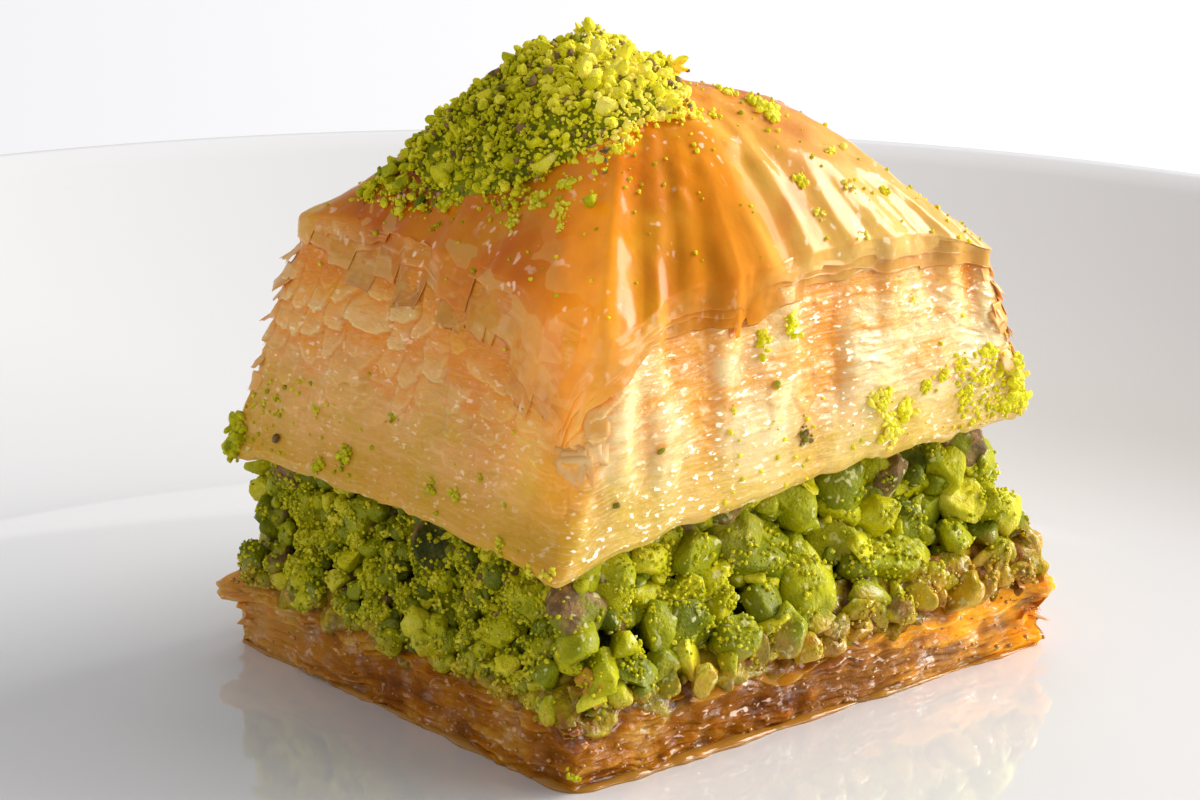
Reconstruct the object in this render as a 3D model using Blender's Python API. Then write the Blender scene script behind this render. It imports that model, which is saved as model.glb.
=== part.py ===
"""A square cut piece of pistachio baklava on a round white plate.

The plate stands on its foot ring at z = 0, with its axis on Z. The piece sits off the middle of the
well, its sides along X and Y. From below it is a slab of soaked pastry sheets, a bed of chopped
pistachios, a puffed lid of pastry sheets with a browned crust, and a heap of ground pistachios.
"""

import math
import random

import bmesh
import bpy
from mathutils import Matrix, Vector, noise

MM = 0.001
TOUCH_GAP = 0.3 * MM  # between pieces that lie on each other

# The plate, a dinner plate with a flat well and a plain sloping rim
PLATE_RADIUS = 125 * MM
PLATE_HEIGHT = 24.2 * MM
WELL_RADIUS = 80 * MM
FLOOR_TOP = 6.5 * MM
FLOOR_UNDERSIDE = 2.6 * MM
FOOT_RADIUS = 76 * MM
FOOT_WIDTH = 4.5 * MM
WALL = 3.6 * MM
BEND_RADIUS = 96 * MM  # where the curve out of the well ends
BEND_RISE = 3.3 * MM
LIP_RADIUS = 122.8 * MM
PLATE_STEPS = 72

# The piece of baklava, measured over its cut sides; heights are over the plate's floor
PIECE_X = 45.7 * MM
PIECE_Y = 39.7 * MM
PIECE_CENTRE = Vector((34.8 * MM, 25.7 * MM, 0.0))
SLAB_HEIGHT = 6.2 * MM
NUTS_START = 7.1 * MM
LID_UNDERSIDE = 17.6 * MM
LID_TILT = 0.045  # the lid's lower face rises this much for each metre to the right
CRUST_APEX = 45.3 * MM
CRUST_EDGE = 34.2 * MM  # at the middle of the two near sides
CRUST_LEAN = 3.8 * MM  # the dome sinks by about this towards its far side

# The four corners: which way each lies from the middle, how far the lid droops there, and its crust's height
FRONT, RIGHT, BACK, LEFT = (-1, -1), (1, -1), (1, 1), (-1, 1)
LID_DROOP = {FRONT: 1.6 * MM, RIGHT: 0.9 * MM, BACK: 1.4 * MM, LEFT: 2.2 * MM}
CRUST_CORNER = {FRONT: 29.5 * MM, RIGHT: 32.0 * MM, BACK: 36.5 * MM, LEFT: 34.4 * MM}

# How far each cut side stands from the middle of the piece: low on the lid, and at its crust
LID_LOW = {"x_low": -24.1 * MM, "x_high": 22.2 * MM, "y_low": -18.8 * MM, "y_high": 19.6 * MM}
LID_TOP = {"x_low": -18.2 * MM, "x_high": 18.9 * MM, "y_low": -17.2 * MM, "y_high": 16.9 * MM}
NUTS_LOW = {"x_low": -21.3 * MM, "x_high": 21.6 * MM, "y_low": -18.5 * MM, "y_high": 18.4 * MM}
NUTS_TOP = {"x_low": -19.8 * MM, "x_high": 18.2 * MM, "y_low": -15.6 * MM, "y_high": 17.0 * MM}

# Relief and pieces
CORNER_ROUNDING = 0.5 * MM
CORNER_SHARE = 1 / 16  # of a side's length, over which its way out turns to the next side's
CORNER_CROWDING = 0.35
SIDE_POINTS = 15
NUT_BED_POINTS = 12
SHEET_GROUPS = 8  # bands of stuck sheets that show on the lid's cut sides
SHEET_STEP = 0.55 * MM
PLEAT_DEPTH = 0.55 * MM
PLEATS_PER_SIDE = 1.5
RAGGED = 0.54 * MM
BLISTER = 0.5 * MM
DOME_RINGS = 6
CHOPPED_COUNT = 86
CHOPPED_SIZE = (3.0 * MM, 5.6 * MM)
CHOPPED_LEVELS = (0.2, 0.52, 0.85)
GROUND_COUNT = 46
GROUND_SIZE = (1.3 * MM, 2.4 * MM)
CRUMB_SIZE = (1.0 * MM, 1.7 * MM)
CLUMP_SIZE = 2.9 * MM
HEAP_CENTRE = Vector((-6.4 * MM, 2.4 * MM))
HEAP_REACH = Vector((9.6 * MM, 10.6 * MM))
HEAP_EDGE = 0.35 * MM
HEAP_DEPTH = 3.2 * MM
HEAP_POINTS = 28


def clear_scene():
    for obj in list(bpy.data.objects):
        bpy.data.objects.remove(obj)


def make_material(name, colour, roughness, metallic=0.0):
    material = bpy.data.materials.new(name)
    material.use_nodes = True
    shader = material.node_tree.nodes["Principled BSDF"]
    shader.inputs["Base Color"].default_value = (*colour, 1.0)
    shader.inputs["Roughness"].default_value = roughness
    shader.inputs["Metallic"].default_value = metallic
    return material


def make_object(name, shape, material=None, place=Vector((0, 0, 0))):
    """Turns a bmesh into a named object, with its faces pointing out."""
    bmesh.ops.recalc_face_normals(shape, faces=shape.faces)
    mesh = bpy.data.meshes.new(name)
    shape.to_mesh(mesh)
    shape.free()
    if material:
        mesh.materials.append(material)
    obj = bpy.data.objects.new(name, mesh)
    obj.location = place
    bpy.context.scene.collection.objects.link(obj)
    return obj


# The plate


def plate_profile():
    """Radius and height pairs, from the middle of the floor's top, over the rim, to its underside."""
    points = [(0.0, FLOOR_TOP), (WELL_RADIUS, FLOOR_TOP)]
    bend_height = FLOOR_TOP + BEND_RISE
    for share in (0.25, 0.5, 0.75, 1.0):
        points.append((WELL_RADIUS + share * (BEND_RADIUS - WELL_RADIUS), FLOOR_TOP + share**2 * BEND_RISE))
    for share in (0.35, 0.7, 1.0):
        sag = 0.9 * MM * math.sin(math.pi * share)
        radius = BEND_RADIUS + share * (LIP_RADIUS - BEND_RADIUS)
        points.append((radius, bend_height + share * (PLATE_HEIGHT - bend_height) - sag))
    points.append((PLATE_RADIUS - 0.5 * MM, PLATE_HEIGHT - 0.5 * MM))
    points.append((PLATE_RADIUS, PLATE_HEIGHT - 1.9 * MM))
    points.append((PLATE_RADIUS - 0.9 * MM, PLATE_HEIGHT - 3.2 * MM))
    points.append((BEND_RADIUS + 2 * MM, bend_height - WALL))
    points.append((FOOT_RADIUS + 5 * MM, FLOOR_UNDERSIDE + 0.6 * MM))
    points.append((FOOT_RADIUS + 1 * MM, FLOOR_UNDERSIDE - 0.4 * MM))
    points.append((FOOT_RADIUS, 0.0))
    points.append((FOOT_RADIUS - FOOT_WIDTH, 0.0))
    points.append((FOOT_RADIUS - FOOT_WIDTH - 1.2 * MM, FLOOR_UNDERSIDE))
    points.append((0.0, FLOOR_UNDERSIDE))
    return points


def make_plate(material):
    shape = bmesh.new()
    profile = [shape.verts.new((radius, 0, height)) for radius, height in plate_profile()]
    edges = [shape.edges.new(pair) for pair in zip(profile, profile[1:])]
    bmesh.ops.spin(
        shape,
        geom=profile + edges,
        cent=(0, 0, 0),
        axis=(0, 0, 1),
        angle=math.tau,
        steps=PLATE_STEPS,
        use_merge=True,
    )
    bmesh.ops.remove_doubles(shape, verts=shape.verts, dist=0.01 * MM)
    obj = make_object("plate", shape, material)
    obj.data.shade_smooth()
    obj.data.set_sharp_from_angle(angle=math.radians(35))
    return obj


# The outline of a square cut piece, walked in four sides


def sides_between(low, high, share):
    return {side: low[side] + share * (high[side] - low[side]) for side in low}


def outline_point(turn, sides):
    """The point and its way out at turn 0 to 4: front side, right side, back side, left side."""
    side = int(turn) % 4
    share = turn - int(turn)
    x_low, x_high = sides["x_low"], sides["x_high"]
    y_low, y_high = sides["y_low"], sides["y_high"]
    corners = [(x_low, y_low), (x_high, y_low), (x_high, y_high), (x_low, y_high)]
    start, end = Vector(corners[side]), Vector(corners[(side + 1) % 4])
    outwards = [Vector((0, -1)), Vector((1, 0)), Vector((0, 1)), Vector((-1, 0))]
    near_corner = max(0.0, 1 - min(share, 1 - share) / CORNER_SHARE)
    other = outwards[side - 1] if share < 0.5 else outwards[(side + 1) % 4]
    out = (outwards[side] + other * near_corner).normalized()
    return start.lerp(end, share) - out * near_corner * CORNER_ROUNDING, out


def turns(count_per_side):
    """Steps round the four sides, closer together at the corners."""
    for side in range(4):
        for step in range(count_per_side):
            share = step / count_per_side
            eased = 0.5 - 0.5 * math.cos(math.pi * share)
            yield side + CORNER_CROWDING * eased + (1 - CORNER_CROWDING) * share


def skin(rings, first_point, last_point):
    """A closed shape over rings of points, with a fan of faces at each end."""
    shape = bmesh.new()
    loops = [[shape.verts.new(point) for point in ring] for ring in rings]
    for lower, upper in zip(loops, loops[1:]):
        count = len(lower)
        for index in range(count):
            following = (index + 1) % count
            shape.faces.new((lower[index], lower[following], upper[following], upper[index]))
    for loop, point in ((loops[0], first_point), (loops[-1], last_point)):
        tip = shape.verts.new(point)
        for index in range(len(loop)):
            shape.faces.new((loop[index], loop[(index + 1) % len(loop)], tip))
    bmesh.ops.triangulate(shape, faces=shape.faces)
    return shape


def ripple(point, height, size, seed):
    """A smooth random number, about -0.5 to 0.5, that changes over a distance of size."""
    return noise.noise(Vector((point.x / size, point.y / size, height / size + seed)))


# Heights over the plate's floor, by place on the piece


def piece_place():
    return PIECE_CENTRE + Vector((0, 0, FLOOR_TOP))


def lid_underside(point):
    """The lid's lower face: higher on the right, and drooping at the corners."""
    height = LID_UNDERSIDE + LID_TILT * point.x
    reach = 6 * MM
    for (way_x, way_y), droop in LID_DROOP.items():
        corner = Vector((way_x * PIECE_X / 2, way_y * PIECE_Y / 2))
        height -= droop * math.exp(-(point - corner).length / reach)
    return height


def crust(point):
    """The crust's upper face: a dome that falls to its edge at each cut side, and to its corners."""
    middle_x = (LID_TOP["x_low"] + LID_TOP["x_high"]) / 2
    middle_y = (LID_TOP["y_low"] + LID_TOP["y_high"]) / 2
    away_x = (point.x - middle_x) / (LID_TOP["x_high"] - middle_x)
    away_y = (point.y - middle_y) / (LID_TOP["y_high"] - middle_y)
    squareness, roundness = 4, 2.2
    away = (away_x**squareness + away_y**squareness) ** (1 / squareness)
    fall = CRUST_APEX - CRUST_EDGE
    corner = CRUST_CORNER[(1 if away_x > 0 else -1, 1 if away_y > 0 else -1)]
    corner_rise = corner - (CRUST_APEX - fall * 2 ** (roundness / squareness))
    lean = max(0.0, 0.5 + 0.7 * (away_x + away_y)) ** 1.2
    height = CRUST_APEX - fall * away**roundness - CRUST_LEAN * lean
    return height + corner_rise * abs(away_x * away_y) ** 2.4


# The pastry and the pistachios


def make_slab(material):
    """The lower sheets, soaked flat, with ragged edges and a flake that stands out at two corners."""
    sides = {"x_low": -PIECE_X / 2, "x_high": PIECE_X / 2, "y_low": -PIECE_Y / 2, "y_high": PIECE_Y / 2}
    levels = (0.0, 0.16, 0.3, 0.46, 0.6, 0.76, 0.9, 1.0)
    flakes = ((3.0, 3.2 * MM, 0.6), (1.0, 2.6 * MM, 0.9))  # turn, reach and level of each
    flake_width, flake_height = 1 / 16, 1 / 4
    rings = []
    for number, level in enumerate(levels):
        ring = []
        for turn in turns(SIDE_POINTS):
            point, out = outline_point(turn, sides)
            reach = 0.8 * MM * ripple(point, number * 5 * MM, 2.2 * MM, 11)
            reach += 0.5 * MM * math.sin(math.pi * level)
            reach += 0.35 * MM * (-1) ** number if 0 < level < 1 else -0.5 * MM
            for corner, flake_reach, flake_level in flakes:
                beside = max(0.0, 1 - abs(turn - corner) / flake_width)
                above = max(0.0, 1 - abs(level - flake_level) / flake_height)
                reach += flake_reach * beside * above
            point = point + out * reach
            lift = 0.5 * MM * level * ripple(point, 0, 4 * MM, 3)
            ring.append((point.x, point.y, TOUCH_GAP + level * (SLAB_HEIGHT - TOUCH_GAP) + lift))
        rings.append(ring)
    shape = skin(rings, (0, 0, TOUCH_GAP), (0, 0, SLAB_HEIGHT))
    return make_object("bottom_pastry", shape, material, piece_place())


def lump(size, stretch, source):
    """One chopped nut or crumb: a ball of 20 faces, stretched, turned and dented."""
    shape = bmesh.new()
    bmesh.ops.create_icosphere(shape, subdivisions=1, radius=size / 2)
    for vert in shape.verts:
        vert.co *= source.uniform(0.84, 1.14)
    turn = Matrix.Rotation(source.uniform(0, math.tau), 4, Vector((source.random(), 0.4, source.random())))
    scale = Matrix.Diagonal((stretch, 1.0, source.uniform(0.72, 0.95), 1.0))
    bmesh.ops.transform(shape, matrix=turn @ scale, verts=shape.verts)
    return shape


def fuse(core, shapes):
    """Joins many small shapes to a core with one Boolean union, and keeps the one outer skin."""
    collection = bpy.data.collections.new(core.name + " pieces")
    bpy.context.scene.collection.children.link(collection)
    for shape in shapes:
        obj = make_object("piece", shape, place=core.location)
        bpy.context.scene.collection.objects.unlink(obj)
        collection.objects.link(obj)
    union = core.modifiers.new("Fuse", "BOOLEAN")
    union.operation = "UNION"
    union.operand_type = "COLLECTION"
    union.collection = collection
    union.solver = "MANIFOLD"
    bpy.context.view_layer.objects.active = core
    bpy.ops.object.modifier_apply(modifier=union.name)
    for obj in list(collection.objects):
        bpy.data.objects.remove(obj)
    bpy.data.collections.remove(collection)
    keep_largest_skin(core.data)


def keep_largest_skin(mesh):
    """Drops loose scraps and the skins of sealed hollows."""
    shape = bmesh.new()
    shape.from_mesh(mesh)
    left = set(shape.verts)
    skins = []
    while left:
        reached = {left.pop()}
        edge_of_search = set(reached)
        while edge_of_search:
            found = {e.other_vert(v) for v in edge_of_search for e in v.link_edges}
            edge_of_search = found & left
            left -= edge_of_search
            reached |= edge_of_search
        skins.append(reached)
    skins.sort(key=len)
    loose = [vert for group in skins[:-1] for vert in group]
    bmesh.ops.delete(shape, geom=loose, context="VERTS")
    shape.to_mesh(mesh)
    shape.free()


def make_nut_bed(material):
    """The chopped pistachios: a core with the nuts that show at the cut sides fused on."""
    rings = []
    for level in (0.0, 0.3, 0.6, 0.85, 1.0):
        ring = []
        for turn in turns(NUT_BED_POINTS):
            point, out = outline_point(turn, sides_between(NUTS_LOW, NUTS_TOP, level))
            point = point + out * (1.1 * MM * ripple(point, level * 9 * MM, 3.4 * MM, 5) - 0.6 * MM)
            high = lid_underside(point) - TOUCH_GAP
            ring.append((point.x, point.y, NUTS_START + level * (high - NUTS_START)))
        rings.append(ring)
    top = lid_underside(Vector((0, 0))) - TOUCH_GAP
    shape = skin(rings, (0, 0, NUTS_START), (0, 0, top))
    core = make_object("chopped_pistachios", shape, material, piece_place())
    fuse(core, list(chopped_nuts()))


def chopped_nuts():
    """Nuts round the four cut sides, in three rows, the largest first, kept between the pastry sheets."""
    source = random.Random(4)
    sizes = sorted((source.uniform(*CHOPPED_SIZE) for _ in range(CHOPPED_COUNT)), reverse=True)
    golden_share = (math.sqrt(5) - 1) / 2
    for number, size in enumerate(sizes):
        turn = 4 * ((number * golden_share) % 1.0)
        level = CHOPPED_LEVELS[number % 3] + source.uniform(-0.08, 0.08)
        point, out = outline_point(turn, sides_between(NUTS_LOW, NUTS_TOP, level))
        point = point - out * (0.2 * size)
        high = lid_underside(point) - TOUCH_GAP
        shape = lump(size, source.uniform(1.0, 1.35), source)
        middle = Vector((point.x, point.y, NUTS_START + level * (high - NUTS_START)))
        bmesh.ops.translate(shape, verts=shape.verts, vec=middle)
        for vert in shape.verts:
            ceiling = lid_underside(vert.co.xy) - TOUCH_GAP - source.uniform(0.1, 0.3) * MM
            vert.co.z = min(max(vert.co.z, NUTS_START + source.uniform(0.05, 0.25) * MM), ceiling)
        yield shape


def lid_ring(level, step, number):
    """One ring of the lid's cut sides: level 0 is its lower edge and 1 its crust."""
    ring = []
    for turn in turns(SIDE_POINTS):
        point, out = outline_point(turn, sides_between(LID_LOW, LID_TOP, level**0.85))
        reach = step + PLEAT_DEPTH * math.sin(math.tau * turn * PLEATS_PER_SIDE) * level
        reach += PLEAT_DEPTH * ripple(point, 0, 5 * MM, 2)
        reach += RAGGED * ripple(point, number * 4 * MM, 2.5 * MM, 7)
        moved = point + out * reach
        bottom = lid_underside(point)
        top = crust(outline_point(turn, LID_TOP)[0])
        ring.append((moved.x, moved.y, bottom + level * (top - bottom)))
    return ring


def make_lid(material):
    """The upper sheets: cut sides stepped in bands of stuck sheets, under a browned dome."""
    rings = []
    for share in (0.35, 0.72):
        ring = []
        for turn in turns(SIDE_POINTS):
            point = outline_point(turn, LID_LOW)[0] * share
            ring.append((point.x, point.y, lid_underside(point)))
        rings.append(ring)
    rings.append(lid_ring(0.0, -0.2 * MM, 0))
    for band in range(SHEET_GROUPS):
        start, end = (band + 0.12) / SHEET_GROUPS, (band + 0.92) / SHEET_GROUPS
        rings.append(lid_ring(start, SHEET_STEP, band + 1))
        rings.append(lid_ring(end, 0.0, band + 1))
    for ring_number in range(1, DOME_RINGS + 1):
        share = (1 - ring_number / (DOME_RINGS + 1)) ** 0.8
        ring = []
        for turn in turns(SIDE_POINTS):
            point = outline_point(turn, LID_TOP)[0] * share
            blister = BLISTER * ripple(point, 0, 4.5 * MM, 9)
            ring.append((point.x, point.y, crust(point) + blister))
        rings.append(ring)
    middle = Vector((0, 0))
    shape = skin(rings, (0, 0, lid_underside(middle)), (0, 0, crust(middle)))
    lid = make_object("top_pastry", shape, material, piece_place())
    fuse(lid, list(stray_crumbs()))


def stray_crumbs():
    """Larger crumbs of pistachio that stick to the crust beside the heap and at two lower corners."""
    source = random.Random(12)
    places = [
        (-15.4, -4.6), (-15.0, -9.0), (-12.0, -9.6), (-8.6, -9.4), (4.9, -8.3), (8.1, -11.2),
        (3.6, -13.2), (8.0, -14.4), (11.6, -13.6), (9.4, 3.0), (13.2, 6.4), (6.8, 11.2),
    ]
    for x, y in places:
        point = Vector((x, y)) * MM
        size = source.uniform(*CRUMB_SIZE)
        shape = lump(size, 1.2, source)
        bmesh.ops.translate(shape, verts=shape.verts, vec=(point.x, point.y, crust(point) + 0.12 * size))
        yield shape
    for corner_x, corner_y, way in (("x_low", "y_high", LEFT), ("x_high", "y_low", RIGHT)):
        corner = Vector((LID_LOW[corner_x], LID_LOW[corner_y]))
        for rise in (1.3 * MM, 2.5 * MM):
            shape = lump(CLUMP_SIZE, 1.1, source)
            place = corner - Vector(way) * (rise - 1.3 * MM) * 0.5
            bmesh.ops.translate(shape, verts=shape.verts, vec=(*place, lid_underside(corner) + rise))
            yield shape


def heap_base(point):
    return crust(point) + 2 * TOUCH_GAP


def heap_depth(point):
    """The depth of the ground pistachios over the crust, with a peak at its middle."""
    away = point - HEAP_CENTRE
    reach = math.hypot(away.x / HEAP_REACH.x, away.y / HEAP_REACH.y)
    return HEAP_EDGE + max(0.0, 1 - reach) ** 0.7 * HEAP_DEPTH


def heap_place(angle, share):
    """The point at this angle round the heap, at this share of the way to its edge."""
    reach = Vector((math.cos(angle) * HEAP_REACH.x, math.sin(angle) * HEAP_REACH.y))
    return HEAP_CENTRE + reach * share


def make_heap(material):
    """The ground pistachios: a low mound on the crust with its larger crumbs fused on."""
    lower, upper = [], []
    for share in (0.4, 0.75, 1.0):
        below, above = [], []
        for step in range(HEAP_POINTS):
            angle = math.tau * step / HEAP_POINTS
            around = Vector((math.cos(angle), math.sin(angle)))
            point = heap_place(angle, share * (1 + 0.35 * ripple(around, 4, 0.6, 0)))
            below.append((point.x, point.y, heap_base(point)))
            above.append((point.x, point.y, heap_base(point) + heap_depth(point)))
        lower.append(below)
        upper.append(above)
    base = heap_base(HEAP_CENTRE)
    rings = lower + upper[::-1]
    shape = skin(rings, (*HEAP_CENTRE, base), (*HEAP_CENTRE, base + heap_depth(HEAP_CENTRE)))
    heap = make_object("ground_pistachios", shape, material, piece_place())
    fuse(heap, list(ground_crumbs()))


def ground_crumbs():
    source = random.Random(31)
    golden_angle = math.pi * (3 - math.sqrt(5))
    for number in range(GROUND_COUNT):
        point = heap_place(number * golden_angle, 0.95 * math.sqrt((number + 0.5) / GROUND_COUNT))
        shape = lump(source.uniform(*GROUND_SIZE), 1.15, source)
        height = heap_base(point) + heap_depth(point)
        bmesh.ops.translate(shape, verts=shape.verts, vec=(point.x, point.y, height))
        for vert in shape.verts:
            vert.co.z = max(vert.co.z, heap_base(vert.co.xy) + 0.1 * MM)
        yield shape


def main():
    clear_scene()
    make_plate(make_material("white porcelain", (0.86, 0.86, 0.87), 0.12))
    make_slab(make_material("soaked pastry", (0.45, 0.19, 0.04), 0.25))
    make_nut_bed(make_material("chopped pistachio", (0.30, 0.38, 0.04), 0.45))
    make_lid(make_material("baked pastry", (0.74, 0.40, 0.11), 0.25))
    make_heap(make_material("ground pistachio", (0.42, 0.50, 0.05), 0.7))


main()
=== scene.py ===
# %% [markdown]
# # A square of pistachio baklava on a white plate
#
# This lesson dresses a real baked sweet: pastry sheets thinner than paper, soaked in syrup, over
# chopped pistachios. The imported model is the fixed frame. It says where every piece is and how
# large it is. Each step below makes one real thing over it: the plate, the soaked lower sheets,
# the nuts, the puffed lid with its browned crust, and the ground pistachio on top.
#
# All lengths are worked in millimetres, because food is that small, and turned into metres once,
# when a mesh is made.

# %% The frame
import math

import bpy
import numpy as np
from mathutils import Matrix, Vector
from mathutils.bvhtree import BVHTree


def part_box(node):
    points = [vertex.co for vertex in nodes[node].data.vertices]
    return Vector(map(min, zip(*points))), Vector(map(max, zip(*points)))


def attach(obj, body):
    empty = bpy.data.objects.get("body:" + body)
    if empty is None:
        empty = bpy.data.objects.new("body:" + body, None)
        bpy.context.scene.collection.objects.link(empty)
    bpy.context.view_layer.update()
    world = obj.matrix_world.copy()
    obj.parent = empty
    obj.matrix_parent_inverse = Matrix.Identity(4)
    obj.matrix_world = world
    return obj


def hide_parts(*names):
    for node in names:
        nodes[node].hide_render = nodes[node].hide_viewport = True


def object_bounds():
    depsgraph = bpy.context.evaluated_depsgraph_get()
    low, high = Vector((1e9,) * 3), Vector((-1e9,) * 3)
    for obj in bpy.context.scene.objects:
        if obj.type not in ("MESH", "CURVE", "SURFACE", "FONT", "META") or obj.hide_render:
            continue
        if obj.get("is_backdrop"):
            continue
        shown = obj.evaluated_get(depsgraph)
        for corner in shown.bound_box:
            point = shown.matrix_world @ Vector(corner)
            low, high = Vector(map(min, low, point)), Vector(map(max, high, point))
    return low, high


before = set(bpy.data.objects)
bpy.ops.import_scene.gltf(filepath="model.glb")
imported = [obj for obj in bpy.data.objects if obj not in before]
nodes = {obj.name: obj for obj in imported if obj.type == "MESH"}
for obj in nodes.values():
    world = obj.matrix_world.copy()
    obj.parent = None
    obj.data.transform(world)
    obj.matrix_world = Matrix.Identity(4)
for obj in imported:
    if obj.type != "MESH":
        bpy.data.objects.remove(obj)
cad_low, cad_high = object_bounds()
MM = 0.001
print("nodes:", sorted(nodes))

# %% [markdown]
# ## Where the camera stands
#
# The picture was taken from 18 degrees above the table with a long lens, looking over the nearest
# corner of the piece. The turn and the height were found from the plate's rim and the corners of
# the piece. A long lens keeps the two cut sides from tapering.

# %% Camera
LENS, SENSOR = 150, 36
PICTURE_WIDE, PICTURE_HIGH = 1200, 800
CAMERA_TURN = math.radians(-40.2)
CAMERA_RISE = math.radians(18.295)
CAMERA_PLACE = Vector((-0.1941, -0.2407, 0.1418))

camera_data = bpy.data.cameras.new("camera")
camera_data.lens = LENS
camera_data.sensor_width = SENSOR
camera = bpy.data.objects.new("camera", camera_data)
bpy.context.scene.collection.objects.link(camera)
towards_eye = Vector((
    math.sin(CAMERA_TURN) * math.cos(CAMERA_RISE),
    -math.cos(CAMERA_TURN) * math.cos(CAMERA_RISE),
    math.sin(CAMERA_RISE),
))
camera.location = CAMERA_PLACE
camera.rotation_mode = "QUATERNION"
camera.rotation_quaternion = (-towards_eye).to_track_quat("-Z", "Y")
bpy.context.scene.camera = camera
print("camera turned", round(math.degrees(CAMERA_TURN), 1), "raised", round(math.degrees(CAMERA_RISE), 1))

# %% [markdown]
# ## Light
#
# The picture is lit by one large soft source at the right and a little behind the sweet, which
# makes the right side nearly white and shines through the sheets' edges. A pale room fills the
# rest. The shade falls over the plate at the left.

# %% Light
SWEET_MIDDLE = Vector((0.0348, 0.0257, 0.028))
to_right = Vector((math.cos(CAMERA_TURN), math.sin(CAMERA_TURN), 0))
away = Vector((-math.sin(CAMERA_TURN), math.cos(CAMERA_TURN), 0))


def soft_box(name, right, back, up, distance, size, watts, colour):
    """A square area light, aimed at the sweet, in the camera's own directions."""
    data = bpy.data.lights.new(name, "AREA")
    data.shape = "RECTANGLE"
    data.size = size[0]
    data.size_y = size[1]
    data.energy = watts
    data.color = colour
    light = bpy.data.objects.new(name, data)
    direction = (to_right * right + away * back + Vector((0, 0, up))).normalized()
    light.location = SWEET_MIDDLE + direction * distance
    light.rotation_mode = "QUATERNION"
    light.rotation_quaternion = direction.to_track_quat("Z", "Y")
    bpy.context.scene.collection.objects.link(light)
    return light


soft_box("window", 1.0, 0.42, 0.62, 0.9, (0.5, 0.5), 9.5, (1.0, 0.985, 0.96))
soft_box("side panel", 1.0, -0.17, 0.27, 0.8, (0.5, 0.3), 3.4, (1.0, 0.98, 0.95))
soft_box("left card", -0.8, -0.6, 0.2, 1.0, (0.7, 0.35), 1.5, (1.0, 0.97, 0.93))
back_panel = soft_box("back panel", 0.15, 1.0, 0.75, 1.1, (1.0, 0.5), 3.0, (1.0, 0.99, 0.98))
back_panel.visible_glossy = False

world = bpy.data.worlds.new("pale room")
bpy.context.scene.world = world
world.use_nodes = True
background = world.node_tree.nodes["Background"]
background.inputs["Color"].default_value = (0.94, 0.945, 0.98, 1)
background.inputs["Strength"].default_value = 0.38
bpy.context.scene.view_settings.view_transform = "Standard"

# %% [markdown]
# ## Helpers for shapes
#
# Dough and nuts are uneven everywhere. `wander` is smooth random noise in space, and every piece
# uses it, so that relief runs on round a corner without a seam. It works on whole arrays, which is
# what makes meshes of a hundred thousand points quick.

# %% Helpers
NOISE_CELLS, SEED_STEP = 64, 7.31
noise_table = np.random.default_rng(5).uniform(-1, 1, (NOISE_CELLS,) * 3)
print("noise table with", noise_table.size, "numbers")


def wander(x, y, z, size, seed=0):
    """Smooth random numbers, -1 to 1, which change over a distance of size."""
    place = np.stack(np.broadcast_arrays(x, y, z), -1) / size + seed * SEED_STEP
    cell = np.floor(place).astype(int)
    share = place - cell
    share = share * share * (3 - 2 * share)
    value = 0
    for corner in range(8):
        step = np.array([corner & 1, corner >> 1 & 1, corner >> 2 & 1])
        at = (cell + step) % NOISE_CELLS
        weight = np.where(step, share, 1 - share).prod(-1)
        value = value + weight * noise_table[at[..., 0], at[..., 1], at[..., 2]]
    return value


def smooth_step(value, low, high):
    share = np.clip((value - low) / (high - low), 0, 1)
    return share * share * (3 - 2 * share)


def deselect():
    if bpy.context.object and bpy.context.object.mode != "OBJECT":
        bpy.ops.object.mode_set(mode="OBJECT")
    bpy.ops.object.select_all(action="DESELECT")


def keep(piece, node, material):
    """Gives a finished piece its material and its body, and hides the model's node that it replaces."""
    piece.data.materials.clear()
    piece.data.materials.append(material)
    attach(piece, "root")
    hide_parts(node)
    print(piece.name, "has", len(piece.data.polygons), "faces")
    return piece


# %% [markdown]
# ## The sweet's measurements
#
# The piece was cut with its sides along X and Y. Its corners are called front, right, back and
# left, as the picture shows them. A place round the sides is a `turn` from 0 to 4, starting at the
# front corner. These are the measures that the solids were built from, in millimetres, with
# heights over the plate's well.

# %% Measurements
SWEET_X, SWEET_Y, WELL_Z = 34.8, 25.7, 6.5
SLAB_LOW = {"x_low": -22.85, "x_high": 22.85, "y_low": -19.85, "y_high": 19.85}
LID_LOW = {"x_low": -24.1, "x_high": 22.2, "y_low": -18.8, "y_high": 19.6}
LID_TOP = {"x_low": -18.2, "x_high": 18.9, "y_low": -17.2, "y_high": 16.9}
NUTS_LOW = {"x_low": -21.3, "x_high": 21.6, "y_low": -18.5, "y_high": 18.4}
NUTS_TOP = {"x_low": -19.8, "x_high": 18.2, "y_low": -15.6, "y_high": 17.0}
SLAB_HEIGHT, NUTS_START, LID_UNDERSIDE, LID_TILT = 6.2, 7.1, 17.6, 0.045
CRUST_APEX, CRUST_EDGE = 45.3, 34.2
LID_DROOP = {(-1, -1): 1.6, (1, -1): 0.9, (1, 1): 1.4, (-1, 1): 2.2}
CRUST_LEAN = 3.8
CRUST_CORNER = {(-1, -1): 29.5, (1, -1): 32.0, (1, 1): 36.5, (-1, 1): 34.4}
# mm, how round each corner is: front, right, back, left
CORNER_ROUND = np.array([4.2, 1.6, 2.4, 1.6])

slab_low, slab_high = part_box("bottom_pastry")
print("the slab's box is", [round(v / MM, 1) for v in slab_high - slab_low], "mm")


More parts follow.
